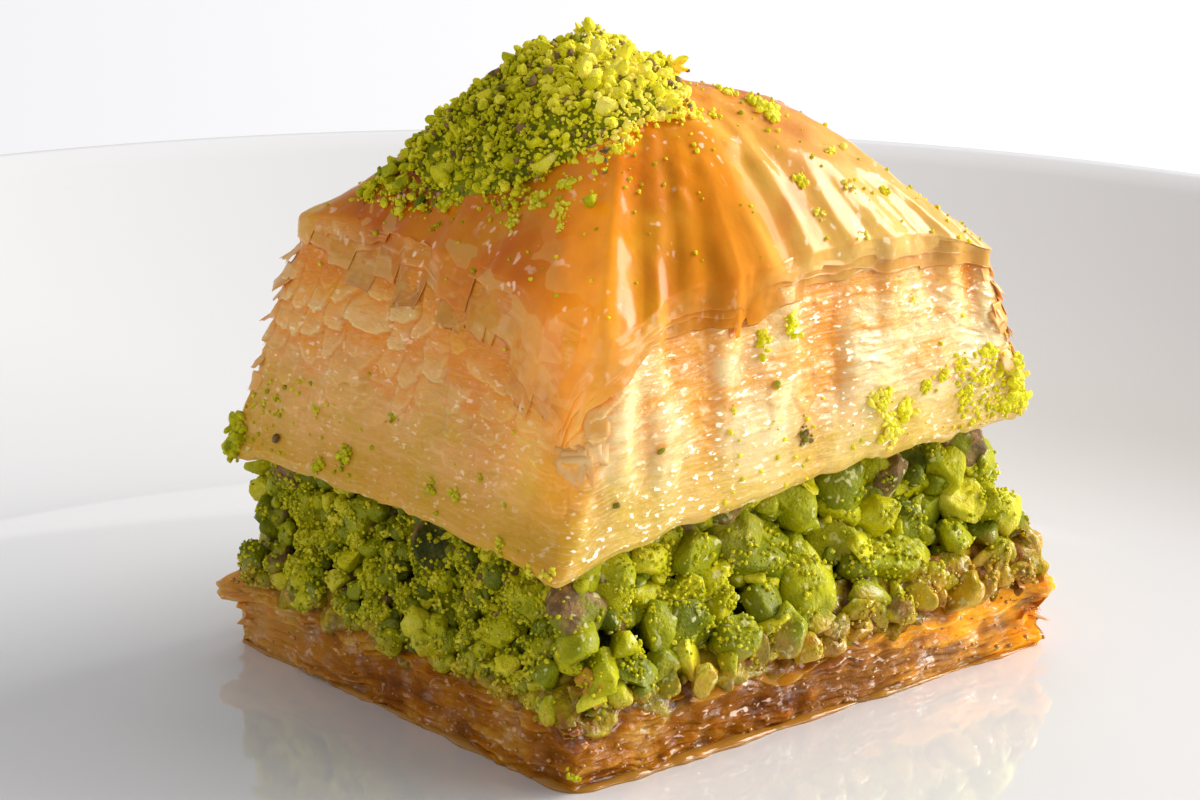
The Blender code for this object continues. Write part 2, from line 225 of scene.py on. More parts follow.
def outline(turn, low, high, level, rounding=0.12):
    """x, y and the way out at each turn, on the outline that lies at level between low and high."""
    names = ("x_low", "x_high", "y_low", "y_high")
    x_low, x_high, y_low, y_high = (low[n] + level * (high[n] - low[n]) for n in names)
    side = np.floor(turn).astype(int) % 4
    share = turn - np.floor(turn)
    first_half = share < 0.5
    corner = np.where(first_half, side, side + 1) % 4
    beside = np.where(first_half, side - 1, side + 1) % 4
    ways = np.array([(0, -1), (1, 0), (0, 1), (-1, 0)])
    corner_x = np.choose(corner, (x_low, x_high, x_high, x_low))
    corner_y = np.choose(corner, (y_low, y_low, y_high, y_high))
    length = np.where(side % 2 == 0, x_high - x_low, y_high - y_low)
    walked = np.where(first_half, share, 1 - share) * length
    radius = CORNER_ROUND[corner] * rounding
    lean = math.pi / 4 * np.clip(1 - walked / radius, 0, 1)
    along = np.where(walked < radius, radius - radius * np.sin(lean), walked)
    inset = radius - radius * np.cos(lean)
    out_x, out_y = ways[side].T
    beside_x, beside_y = ways[beside].T
    x = corner_x - beside_x * along - out_x * inset
    y = corner_y - beside_y * along - out_y * inset
    way_x = out_x * np.cos(lean) + beside_x * np.sin(lean)
    way_y = out_y * np.cos(lean) + beside_y * np.sin(lean)
    return x, y, way_x, way_y


def lid_underside(x, y):
    height = LID_UNDERSIDE + LID_TILT * x
    for (way_x, way_y), droop in LID_DROOP.items():
        away = np.hypot(x - way_x * SLAB_LOW["x_high"], y - way_y * SLAB_LOW["y_high"])
        height = height - droop * np.exp(-away / 6)
    return height


def crust_height(x, y):
    """The smooth dome that the browned crust follows. It sinks towards its far side."""
    middle_x = (LID_TOP["x_low"] + LID_TOP["x_high"]) / 2
    middle_y = (LID_TOP["y_low"] + LID_TOP["y_high"]) / 2
    away_x = (x - middle_x) / (LID_TOP["x_high"] - middle_x)
    away_y = (y - middle_y) / (LID_TOP["y_high"] - middle_y)
    squareness, roundness = 4, 2.2
    away = (away_x**squareness + away_y**squareness) ** (1 / squareness)
    fall = CRUST_APEX - CRUST_EDGE
    right, back = (away_x > 0), (away_y > 0)
    corner = np.where(
        right,
        np.where(back, CRUST_CORNER[(1, 1)], CRUST_CORNER[(1, -1)]),
        np.where(back, CRUST_CORNER[(-1, 1)], CRUST_CORNER[(-1, -1)]),
    )
    rise = corner - (CRUST_APEX - fall * 2 ** (roundness / squareness))
    lean = np.maximum(0.5 + 0.7 * (away_x + away_y), 0) ** 1.2
    height = CRUST_APEX - fall * away**roundness - CRUST_LEAN * lean
    return height + rise * np.abs(away_x * away_y) ** 2.4


# %% [markdown]
# ## Rolling a grid into a skin
#
# Cut pastry is a block whose sides carry all the detail. A flat grid is added, and each of its
# points is then moved: across the grid is the way round the sweet, and up the grid is the way from
# one pole to the other. Where the rolled edges meet, the points are merged, so the skin is closed.
# The two sides that the picture shows get most of the columns.

# %% Rolled skins
# how far across the grid the front, right, left and front corners come
CORNER_COLUMNS = (0, 0.32, 0.68, 1)
# metres: points closer than this are merged
WELD = 1e-6


def rolled(name, columns, rows, place):
    """A grid rolled round the sweet. place(turn, run) gives x, y, z in mm and named values."""
    deselect()
    bpy.ops.mesh.primitive_grid_add(x_subdivisions=columns, y_subdivisions=rows, size=1)
    piece = bpy.context.object
    piece.name = name
    flat = np.empty(len(piece.data.vertices) * 3)
    piece.data.vertices.foreach_get("co", flat)
    flat = flat.reshape(-1, 3)
    turn = np.interp(flat[:, 0] + 0.5, CORNER_COLUMNS, (0, 1, 3, 4))
    x, y, z, values = place(turn, flat[:, 1] + 0.5)
    points = np.stack([x + SWEET_X, y + SWEET_Y, z + WELL_Z], -1) * MM
    piece.data.vertices.foreach_set("co", points.ravel())
    for key, value in values.items():
        attribute = piece.data.attributes.new(key, "FLOAT", "POINT")
        attribute.data.foreach_set("value", np.broadcast_to(value, len(points)).astype(np.float32))
    bpy.ops.object.mode_set(mode="EDIT")
    bpy.ops.mesh.select_all(action="SELECT")
    bpy.ops.mesh.remove_doubles(threshold=WELD)
    bpy.ops.mesh.normals_make_consistent(inside=False)
    bpy.ops.object.mode_set(mode="OBJECT")
    bpy.ops.object.shade_smooth()
    return piece


# %% [markdown]
# ## The cut sides of the lid
#
# The lid is about forty pastry sheets, each thin as paper when dry, pressed by the knife and swollen
# again in the oven. Seen from the side each sheet is a small ledge: it stands out at its lower edge
# and sinks back to the next. Pleats run down across them. On the left side the sheets broke into
# scales with rounded lower edges. Low down the sheets are soaked, stick together and flare out.
#
# The ledges are worked out from a count of sheets that wanders up and down along the side. Each
# sheet has its own reach and its own ragged edge. The scales come from a coarser count, broken into
# columns, and all of them lie flat where the crust covers them.

# %% Sheets of the lid
SHEETS = 40
SCALE_ROWS, SCALES_ACROSS = 10, 13
# chance numbers that single sheets and scales look up, each its own
OWN_NUMBERS = 128
sheet_random = np.random.default_rng(21).uniform(0, 1, OWN_NUMBERS)
# turn, how far down the cut side the top sheet reaches (1 is the crust's own edge)
TORN_EDGE = (
    (0.0, 0.80), (0.05, 0.88), (0.12, 0.94), (0.22, 0.9), (0.34, 0.86), (0.44, 0.94), (0.6, 0.92),
    (0.8, 0.93), (0.95, 1.0), (1.0, 1.0), (1.15, 0.95), (1.4, 0.9), (1.7, 0.96), (1.9, 0.88),
    (2.1, 0.93),
    (2.4, 0.86), (2.7, 0.95), (3.0, 0.97), (3.06, 0.95), (3.16, 0.88), (3.3, 0.9), (3.45, 0.93),
    (3.6, 0.88), (3.72, 0.8), (3.82, 0.72), (3.9, 0.64), (3.945, 0.57), (3.965, 0.72), (4.0, 0.80),
)

print("the lid has", SHEETS, "sheets and", SCALE_ROWS, "rows of scales")


def sheet_ledges(turn, x, y, z, level, left):
    """How far each point of a cut side stands out, with its fold, ledge and scale for colour."""
    middle = smooth_step(level, 0.1, 0.45)
    # pleats that run down the side: broad ones and narrow columns
    broad = wander(x, y, z * 0.25, 3.9, 1)
    columns = np.tanh(2.4 * wander(x, y, z * 0.22, 2.0, 2))
    fold = (0.36 * broad + (0.44 - 0.26 * left) * columns) * (0.15 + 0.85 * middle)
    # single sheets, as fine lines
    line = level * SHEETS + 1.5 * wander(x, y, z * 0.25, 3.6, 3) + 0.5 * wander(x, y, z * 0.25, 1.2, 4)
    sheet = np.floor(line)
    above = line - sheet
    own = sheet_random[sheet.astype(int) % OWN_NUMBERS]
    stretch = smooth_step(wander(x, y, sheet * 2.9, 2.7, 5), -0.5, 0.5)
    teeth = 1 + 0.6 * wander(x, y, sheet * 5.3, 0.6, 6)
    reach = (0.02 + 0.34 * np.clip(own - 0.35, 0, 1)) * (0.3 + 0.7 * stretch) * teeth
    ledge = reach * (1 - above) ** 1.2 * (0.06 + 0.94 * middle) * (1 - 0.6 * left)
    # scales: several sheets together, broken at the pleats, each with a rounded lower edge
    across = turn * SCALES_ACROSS + 0.8 * wander(x, y, z * 0.3, 4.5, 62) + 0.3 * wander(x, y, z, 1.6, 63)
    column = np.floor(across)
    beside = across - column
    cell = column.astype(int) % (SCALES_ACROSS * 4)
    row_line = level * SCALE_ROWS + 1.2 * sheet_random[cell * 7 % OWN_NUMBERS]
    row_line = row_line + 0.35 * (1 - (2 * beside - 1) ** 2)
    row_line = row_line + 0.7 * wander(x, y, z * 0.2, 6.0, 61) + 0.16 * wander(x, y, z, 0.8, 64)
    row = np.floor(row_line).astype(int)
    up = row_line - row
    tile = sheet_random[(cell * 37 + row * 17) % OWN_NUMBERS] * (1 - up) ** 0.7
    tile = tile * smooth_step(beside, 0.0, 0.14) * smooth_step(beside, 1.0, 0.92)
    shingle = (0.08 + 0.6 * tile) * (0.3 + 0.7 * left) * middle
    fibres = 0.04 * wander(x, y, z * 2, 1.1, 7) + 0.04 * wander(x, y, z, 0.5, 8)
    # the sheets lie flat where the browned crust covers them
    turns, levels = np.array(TORN_EDGE).T
    bare = 1 - smooth_step(level - np.interp(turn, turns, levels), -0.19, -0.07)
    return (ledge + shingle) * (0.1 + 0.9 * bare) + fold + fibres, fold, above, tile * bare


def lid_outline(turn, level):
    return outline(turn, LID_LOW, LID_TOP, np.clip(level, 0, 1) ** 0.85, 0.25 + 0.75 * level)


def ridge_glow(turn):
    """Painted light: an emission glow at the front corner on the shaded side, for the window's light that
    comes through it.
    """
    return np.exp(-(((turn - 3.97) / 0.16) ** 2)) + np.exp(-(((turn + 0.03) / 0.08) ** 2))


def side_point(turn, level, lift=0.0):
    """A point on the lid's cut side, with its values for colour."""
    level = np.broadcast_to(level, turn.shape)
    x, y, out_x, out_y = lid_outline(turn, level)
    top_x, top_y, _, _ = lid_outline(turn, np.ones_like(level))
    low_x, low_y, _, _ = lid_outline(turn, np.zeros_like(level))
    bottom = lid_underside(low_x, low_y)
    bottom = bottom + 0.4 * wander(low_x, low_y, 0, 2.6, 9)
    bottom = bottom + 0.45 * wander(low_x, low_y, 0, 0.8, 10) * wander(low_x, low_y, 0, 3.0, 19)
    z = bottom + level * (crust_height(top_x, top_y) - bottom)
    left = np.clip(-out_x, 0, 1)
    reach, fold, above, scale = sheet_ledges(turn, x, y, z, level, left)
    reach = reach + lift - 0.35 * smooth_step(level, 0.04, 0.0)
    # painted glow at the front corner, given to the material's emission
    glow = ridge_glow(turn) * smooth_step(level, 0.1, 0.4)
    values = {"fold": fold, "above": above, "scale": scale, "left": left, "glow": glow}
    return x + out_x * reach, y + out_y * reach, z, values


def lid_place(turn, run):
    under, over = 0.07, 0.93
    level = np.clip((run - under) / (over - under), 0, 1)
    x, y, z, values = side_point(turn, level)
    inward = np.clip(np.minimum(run / under, (1 - run) / (1 - over)), 0, 1) ** 0.6
    x, y = x * inward, y * inward
    flat = np.minimum((1 - inward) * 5, 1)
    z = z + flat * (np.where(run < 0.5, lid_underside(x, y) + 0.4, crust_height(x, y) - 0.9) - z)
    return x, y, z, values


# %% [markdown]
# ## The browned crust
#
# The top sheets dried, browned and lifted into a dome. They are one shiny skin with broad folds
# that run down to the edges, small blisters, and a torn lower edge that hangs over the cut sides.
# Two more browned sheets show under it, each torn a little lower. Every one is a closed thin shell:
# its grid runs from the top down the underside to the torn edge, and back up on the outside.
#
# The torn edge and the main folds were set along the two sides that the picture shows.

# %% Crust
# turn, height and half width in turns of each broad fold
CRUST_FOLDS = (
    (0.0, 0.9, 0.035), (0.09, -0.6, 0.045), (0.19, -0.5, 0.03), (0.33, 0.85, 0.1), (0.47, -0.35, 0.025),
    (0.52, 0.3, 0.02), (0.58, -0.25, 0.03), (0.7, 0.3, 0.06), (0.95, 0.5, 0.06), (1.3, -0.4, 0.06),
    (1.55, 0.5, 0.07), (1.8, -0.4, 0.05), (2.0, 0.6, 0.06), (2.25, -0.4, 0.06), (2.5, 0.45, 0.07),
    (2.75, -0.35, 0.06), (3.05, 0.4, 0.06), (3.3, -0.3, 0.06), (3.5, 0.3, 0.05), (3.68, -0.35, 0.06),
    (3.85, 0.3, 0.04),
)
BLISTERS = 34
blister_random = np.random.default_rng(8)
blister_places = blister_random.uniform((-16, -15), (17, 15), (BLISTERS, 2))
blister_sizes = blister_random.uniform(0.5, 1.5, BLISTERS)
print("the crust has", len(CRUST_FOLDS), "folds and", BLISTERS, "blisters")


def crust_relief(turn, share, x, y):
    """Folds, wrinkles and blisters: how far the crust stands off its smooth dome."""
    relief = 0.0
    for at, height, width in CRUST_FOLDS:
        away = np.abs(turn - at)
        away = np.minimum(away, 4 - away)
        relief = relief + height * np.exp(-((away / width) ** 2))
    edge_x, edge_y, _, _ = lid_outline(turn, 1.0)
    loose = wander(edge_x, edge_y, share * 5, 3.2, 11)
    calm = 0.45 + 0.55 * np.clip(np.abs(turn - 0.75) / 0.5, 0, 1)
    relief = relief * 0.8 + (0.45 * loose - 0.25 * np.abs(loose)) * calm
    relief = relief * smooth_step(share, 0.3, 0.98)
    relief = relief + 0.28 * wander(x, y, 0, 3.4, 12) + 0.1 * wander(x, y, 0, 1.1, 13)
    for (at_x, at_y), size in zip(blister_places, blister_sizes):
        away = ((x - at_x) ** 2 + (y - at_y) ** 2) / (size * 0.55) ** 2
        relief = relief + 0.16 * size * np.exp(-away)
    return relief


def crust_point(turn, walked, off, low_level):
    """A point of a crust sheet: walked is 0 at the apex, 1 at the crust's edge, 2 at the torn edge."""
    share = np.clip(walked, 0, 1) ** 0.8
    edge_x, edge_y, out_x, out_y = lid_outline(turn, 1.0)
    x, y = edge_x * share, edge_y * share
    relief = crust_relief(turn, share, x, y)
    down = np.clip(walked - 1, 0, 1)
    side_x, side_y, side_z, _ = side_point(turn, 1 - down * (1 - low_level), 0.2)
    near_edge = smooth_step(walked, 0.7, 1.0)
    on_dome = walked < 1
    z = np.where(on_dome, crust_height(x, y), side_z)
    x = np.where(on_dome, x + near_edge * (side_x - edge_x), side_x)
    y = np.where(on_dome, y + near_edge * (side_y - edge_y), side_y)
    bend = smooth_step(walked, 0.8, 1.12)
    off = off + relief * (1 - 0.75 * down)
    return x + out_x * off * bend, y + out_y * off * bend, z + off * (1 - 0.6 * bend), relief


def torn_level(turn, lower, seed):
    """Where a sheet's torn edge lies: in squares at the left, in long stretches at the right."""
    turns, levels = np.array(TORN_EDGE).T
    level = np.interp(turn, turns, levels) - lower
    x, y, out_x, _ = lid_outline(turn, 1.0)
    left = np.clip(-out_x, 0, 1)
    level = level + 0.014 * wander(x, y, seed * 9, 2.4, 14) + 0.008 * wander(x, y, seed * 9, 0.8, 15)
    count = np.where(left > 0.5, 13, 6)
    across = turn * count + 0.4 * wander(x, y, seed * 5, 1.6, 16)
    cell = np.floor(across).astype(int) % (count * 4)
    own = sheet_random[(cell * 31 + seed * 41) % OWN_NUMBERS]
    return np.clip(level + (own - 0.5) * (0.06 + 0.1 * left), 0.2, 1.03)


def crust_sheet(start, lower, lift, thickness, seed):
    """The place function of one browned sheet, from the dome at start down to its torn edge."""
    knee = 0.82 if start == 0 else 0.4

    def place(turn, run):
        back = 0.14
        inside = run < back
        way = np.where(inside, run / back, (1 - run) / (1 - back))
        thin = thickness * np.clip((1 - way) * 12, 0.15, 1)
        if start > 0:
            thin = thin * np.clip(way * 12, 0, 1)
        x, y, out_x, _ = lid_outline(turn, 1.0)
        left = np.clip(-out_x, 0, 1)
        curl = 0.16 * smooth_step(way, 0.93, 1) * (0.3 + wander(x, y, seed, 2.0, 17)) * (1 - left)
        off = lift + curl + np.where(inside, -thin / 2, thin / 2)
        walked = np.interp(way, (0, knee, 1), (start, 1, 2))
        x, y, z, relief = crust_point(turn, walked, off, torn_level(turn, lower, seed))
        _, _, _, side = side_point(turn, np.clip(2 - walked, 0, 1))
        scale = side["scale"] * left * smooth_step(walked, 0.85, 1.0)
        matt = np.exp(-(((turn - 0.33) / 0.13) ** 2)) * smooth_step(walked, 0.3, 0.55)
        torn = smooth_step(way, 0.55, 1.0)
        values = {"fold": relief, "torn": torn, "scale": scale, "matt": matt, "glow": ridge_glow(turn)}
        return x, y, z, values

    return place


# %% The lid's pieces
lid_sheets = rolled("lid_sheets", 620, 158, lid_place)
crust_top = rolled("crust", 520, 180, crust_sheet(0, 0.0, 0.12, 0.14, 1))
crust_second = rolled("crust_second_sheet", 520, 60, crust_sheet(0.8, 0.04, 0.02, 0.09, 2))
crust_third = rolled("crust_third_sheet", 520, 60, crust_sheet(0.8, 0.1, -0.08, 0.09, 3))
print("lid:", [piece.name for piece in (lid_sheets, crust_top, crust_second, crust_third)])

# %% [markdown]
# ## Materials from nodes
#
# Every finish is built from a few of the same nodes, so a short helper adds a node and plugs in
# what it is given: a number, a colour or another node's output. Patterns read Object coordinates,
# which are metres here, so a scale of 1000 makes a pattern a millimetre wide.

# %% Node helpers


def plug(tree, socket, value):
    if isinstance(value, bpy.types.NodeSocket):
        tree.links.new(value, socket)
    elif isinstance(value, tuple) and len(value) == 3 and socket.type == "RGBA":
        socket.default_value = (*value, 1)
    else:
        socket.default_value = value


def add(tree, kind, inputs=(), **settings):
    """Adds a node with its settings, and plugs in its inputs by name or number."""
    node = tree.nodes.new(kind)
    for name, value in settings.items():
        setattr(node, name, value)
    for key, value in dict(inputs).items():
        plug(tree, node.inputs[key], value)
    return node


def combined(tree, operation, first, second, clamp=False):
    node = add(tree, "ShaderNodeMath", {0: first, 1: second}, operation=operation, use_clamp=clamp)
    return node.outputs[0]


def sum_of(tree, first, second, clamp=False):
    return combined(tree, "ADD", first, second, clamp)


def times(tree, first, second, clamp=False):
    return combined(tree, "MULTIPLY", first, second, clamp)


def spread(tree, value, low, high, to_low=0.0, to_high=1.0):
    """Stretches a value from one range to another, and stops it at the ends."""
    inputs = {"Value": value, "From Min": low, "From Max": high, "To Min": to_low, "To Max": to_high}
    return add(tree, "ShaderNodeMapRange", inputs).outputs["Result"]


def mixed(tree, share, first, second, blend="MIX"):
    node = add(tree, "ShaderNodeMix", data_type="RGBA", blend_type=blend)
    for key, value in ((0, share), (6, first), (7, second)):
        plug(tree, node.inputs[key], value)
    return node.outputs[2]


def ramp(tree, share, stops):
    """A colour ramp: stops are (position, colour)."""
    node = add(tree, "ShaderNodeValToRGB", {"Fac": share})
    points = node.color_ramp.elements
    while len(points) < len(stops):
        points.new(0.5)
    for point, (position, colour) in zip(points, stops):
        point.position = position
        point.color = (*colour, 1)
    return node.outputs["Color"]


def named(tree, name):
    return add(tree, "ShaderNodeAttribute", attribute_name=name).outputs["Fac"]


def place_of(tree):
    """Object coordinates as single values, by "X", "Y" and "Z"."""
    where = add(tree, "ShaderNodeTexCoord").outputs["Object"]
    return add(tree, "ShaderNodeSeparateXYZ", {"Vector": where}).outputs


def stretched(tree, stretch):
    """Object coordinates for a pattern, stretched along each axis."""
    where = add(tree, "ShaderNodeTexCoord").outputs["Object"]
    return add(tree, "ShaderNodeMapping", {"Vector": where, "Scale": stretch}).outputs["Vector"]


def bumped(tree, height, strength, distance):
    inputs = {"Height": height, "Strength": strength, "Distance": distance}
    return add(tree, "ShaderNodeBump", inputs).outputs["Normal"]


def finish(name, **sockets):
    """A new material, its tree and its shader, with constant values set on the shader."""
    material = bpy.data.materials.new(name)
    material.use_nodes = True
    tree = material.node_tree
    shader = tree.nodes["Principled BSDF"]
    for key, value in sockets.items():
        plug(tree, shader.inputs[key.replace("_", " ")], value)
    return material, tree, shader


# %% [markdown]
# ## Effects that several materials share
#
# A speckle, painted highlights for the small bright marks of wet edges, the way to the window and a
# painted glow for the light in the front corner show on several finishes. Each is a node group, built
# once and placed with its own values.

# %% Shared effects
VALUE, COLOUR, VECTOR = "NodeSocketFloat", "NodeSocketColor", "NodeSocketVector"
# how far towards the window a point is: its X, and this share of its Y
BACK_SHARE = -0.84


def shared(name, inputs, output, kind, make):
    """A node group. inputs are (name, value), and make builds it and gives what comes out."""
    group = bpy.data.node_groups.new(name, "ShaderNodeTree")
    for socket_name, value in inputs:
        socket_kind = VECTOR if isinstance(value, tuple) else VALUE
        socket = group.interface.new_socket(name=socket_name, in_out="INPUT", socket_type=socket_kind)
        socket.default_value = value
    group.interface.new_socket(name=output, in_out="OUTPUT", socket_type=kind)
    given = group.nodes.new("NodeGroupInput").outputs
    group.links.new(make(group, given), group.nodes.new("NodeGroupOutput").inputs[output])
    print("node group", name)
    return group


def noise(tree, stretch, scale, detail):
    inputs = {"Vector": stretched(tree, stretch), "Scale": scale, "Detail": detail, "Roughness": 0.55}
    return add(tree, "ShaderNodeTexNoise", inputs).outputs["Fac"]


def build_speckle(tree, given):
    return noise(tree, given["Stretch"], given["Scale"], given["Detail"])


# painted highlights: small bright marks where wet edges would mirror the light
def build_painted_glints(tree, given):
    stretch = add(tree, "ShaderNodeCombineXYZ", {"X": 1.0, "Y": 1.0, "Z": given["Flatness"]})
    marks = noise(tree, stretch.outputs["Vector"], given["Scale"], 1.0)
    marks = spread(tree, marks, 0.63, 0.69)
    return times(tree, marks, given["Share"])


def build_to_window(tree, given):
    where = place_of(tree)
    return sum_of(tree, where["X"], times(tree, where["Y"], BACK_SHARE))


def build_corner_light(tree, given):
    """Painted light: a glow for the light that comes through the front corner from behind, and painted
    highlights over it.
    """
    patches = spread(tree, noise(tree, (1, 1, 0.6), 240, 3), 0.3, 0.7, 0.4, 1.0)
    share = times(tree, given["Glow"], patches)
    light = mixed(tree, share, (0, 0, 0), (1.0, 0.5, 0.02))
    return mixed(tree, given["Marks"], light, (1.6, 1.5, 1.15))


SPECKLE_INPUTS = (("Scale", 300.0), ("Detail", 3.0), ("Stretch", (1.0, 1.0, 1.0)))
GLINT_INPUTS = (("Scale", 1300.0), ("Share", 1.0), ("Flatness", 1.8))
LIGHT_INPUTS = (("Glow", 0.0), ("Marks", 0.0))
SPECKLE = shared("speckle", SPECKLE_INPUTS, "Mask", VALUE, build_speckle)
PAINTED_GLINTS = shared("painted glints", GLINT_INPUTS, "Mask", VALUE, build_painted_glints)
TO_WINDOW = shared("to the window", (), "Across", VALUE, build_to_window)
CORNER_LIGHT = shared("corner light", LIGHT_INPUTS, "Light", COLOUR, build_corner_light)


def placed(tree, group, **values):
    """Places a shared effect with its own values, and gives what comes out."""
    return add(tree, "ShaderNodeGroup", values, node_tree=group).outputs[0]


def grain(tree, scale, detail=3.0, stretch=(1, 1, 1)):
    return placed(tree, SPECKLE, Scale=scale, Detail=detail, Stretch=stretch)


# %% [markdown]
# ## What the pastry looks like
#
# Soaked pastry is amber and clear like wet paper: light goes in and comes out warmer. So the
# sheets have light scattering under their surface, and a thin coat of syrup that shines, with
# painted highlights for its small bright marks. Their colour runs from pale cream and yellow at
# the soaked lower edge, over peach, to orange near the crust. Painted shade makes it deeper in the
# folds, and the lit and shaded sides have painted light and shade. Yellow must not turn olive, so
# the creams hold some red.

# %% Pastry materials
# heights over the table, in metres
LID_BOTTOM, LID_CROWN = 0.0225, 0.0415
FOOT_TOP, FOOT_LOW = 0.034, 0.0285


def lid_colour(tree):
    """Cream below, peach in the middle and orange near the crust; painted shade makes it deeper on the
    shaded left side.
    """
    z = place_of(tree)["Z"]
    height = spread(tree, z, LID_BOTTOM, LID_CROWN)
    patches = spread(tree, grain(tree, 150, 3, (1, 1, 1.2)), 0.3, 0.7, -0.14, 0.14)
    layers = spread(tree, grain(tree, 130, 3, (1, 1, 14)), 0.3, 0.7, -0.07, 0.07)
    height = sum_of(tree, sum_of(tree, height, patches), layers)
    # lit and shaded: painted light on the right side, painted shade on the shaded left side
    lit = ramp(tree, height, (
        (0.0, (0.70, 0.47, 0.06)),
        (0.2, (0.76, 0.53, 0.11)),
        (0.42, (0.95, 0.74, 0.38)),
        (0.66, (0.97, 0.68, 0.30)),
        (0.9, (0.93, 0.50, 0.10)),
    ))
    shaded = ramp(tree, height, (
        (0.0, (0.66, 0.37, 0.015)),
        (0.2, (0.76, 0.41, 0.06)),
        (0.42, (0.88, 0.46, 0.14)),
        (0.66, (0.95, 0.42, 0.08)),
        (0.9, (0.90, 0.28, 0.01)),
    ))
    left = named(tree, "left")
    colour = mixed(tree, left, lit, shaded)
    # painted shade in the hollows of the folds
    fold_shade = mixed(tree, 1.0, colour, (0.93, 0.55, 0.14), "MULTIPLY")
    colour = mixed(tree, spread(tree, named(tree, "fold"), 0.05, -0.42), colour, fold_shade)
    # scales: pale where they lie on top, and orange between them, partly the sheets below that show and
    # partly painted shade
    ember = spread(tree, grain(tree, 210, 2, (1, 1, 2.4)), 0.5, 0.6, 0.0, 0.75)
    ember = times(tree, ember, spread(tree, height, 0.3, 0.5))
    colour = mixed(tree, ember, colour, (0.93, 0.40, 0.04))
    tiled = times(tree, spread(tree, height, 0.3, 0.55), spread(tree, left, 0, 1, 0.25, 0.9))
    gap_shade = times(tree, spread(tree, named(tree, "scale"), 0.02, 0.26, 0.85, 0.0), tiled)
    colour = mixed(tree, gap_shade, colour, (0.84, 0.27, 0.012))
    pale = times(tree, spread(tree, named(tree, "scale"), 0.35, 0.85, 0.0, 0.75), tiled)
    return mixed(tree, pale, colour, (0.97, 0.62, 0.26))


# painted light: an emission glow, with painted highlights on top, though the pastry is no lamp
def glowing(tree, shader, strength, marks):
    light = placed(tree, CORNER_LIGHT, Glow=named(tree, "glow"), Marks=marks)
    plug(tree, shader.inputs["Emission Color"], light)
    shader.inputs["Emission Strength"].default_value = strength


def pastry_sheets(name):
    material, tree, shader = finish(
        name, Subsurface_Weight=0.45, Subsurface_Scale=0.002, Coat_Roughness=0.1, Specular_IOR_Level=0.25
    )
    shader.inputs["Subsurface Radius"].default_value = (1.0, 0.5, 0.15)
    colour = lid_colour(tree)
    # painted highlights: each sheet's lower edge is paler, most on the lit right side
    lit = spread(tree, named(tree, "left"), 0.0, 1.0, 1.0, 0.35)
    ledge = times(tree, spread(tree, named(tree, "above"), 0.0, 0.35, 0.4, 0.0), lit)
    colour = mixed(tree, ledge, colour, (0.96, 0.80, 0.50))
    low = spread(tree, place_of(tree)["Z"], FOOT_TOP, FOOT_LOW)
    # painted highlights: bright marks, more on the lit right side, in the colour and the glow
    patchy = spread(tree, grain(tree, 150, 2), 0.35, 0.6)
    facing = spread(tree, named(tree, "left"), 0.0, 1.0, 0.9, 0.22)
    painted_glints = placed(tree, PAINTED_GLINTS, Scale=1500, Share=times(tree, facing, patchy))
    plug(tree, shader.inputs["Base Color"], mixed(tree, painted_glints, colour, (1.0, 0.95, 0.80)))
    glowing(tree, shader, 0.3, painted_glints)
    plug(tree, shader.inputs["Roughness"], spread(tree, grain(tree, 260, 3), 0.35, 0.65, 0.22, 0.45))
    wet = spread(tree, grain(tree, 480, 3), 0.42, 0.6, 0.0, 0.95)
    plug(tree, shader.inputs["Coat Weight"], times(tree, wet, lit))
    fibres = grain(tree, 460, 4, (1, 1, 2.6))
    fine = grain(tree, 1500, 3, (1, 1, 1.8))
    lines = times(tree, grain(tree, 260, 2, (1, 1, 11)), lit)
    ripple = sum_of(tree, sum_of(tree, fibres, fine), lines)
    ripple = times(tree, ripple, spread(tree, low, 0, 1, 1.0, 0.5))
    plug(tree, shader.inputs["Normal"], bumped(tree, ripple, 0.6, 0.00024))
    return material


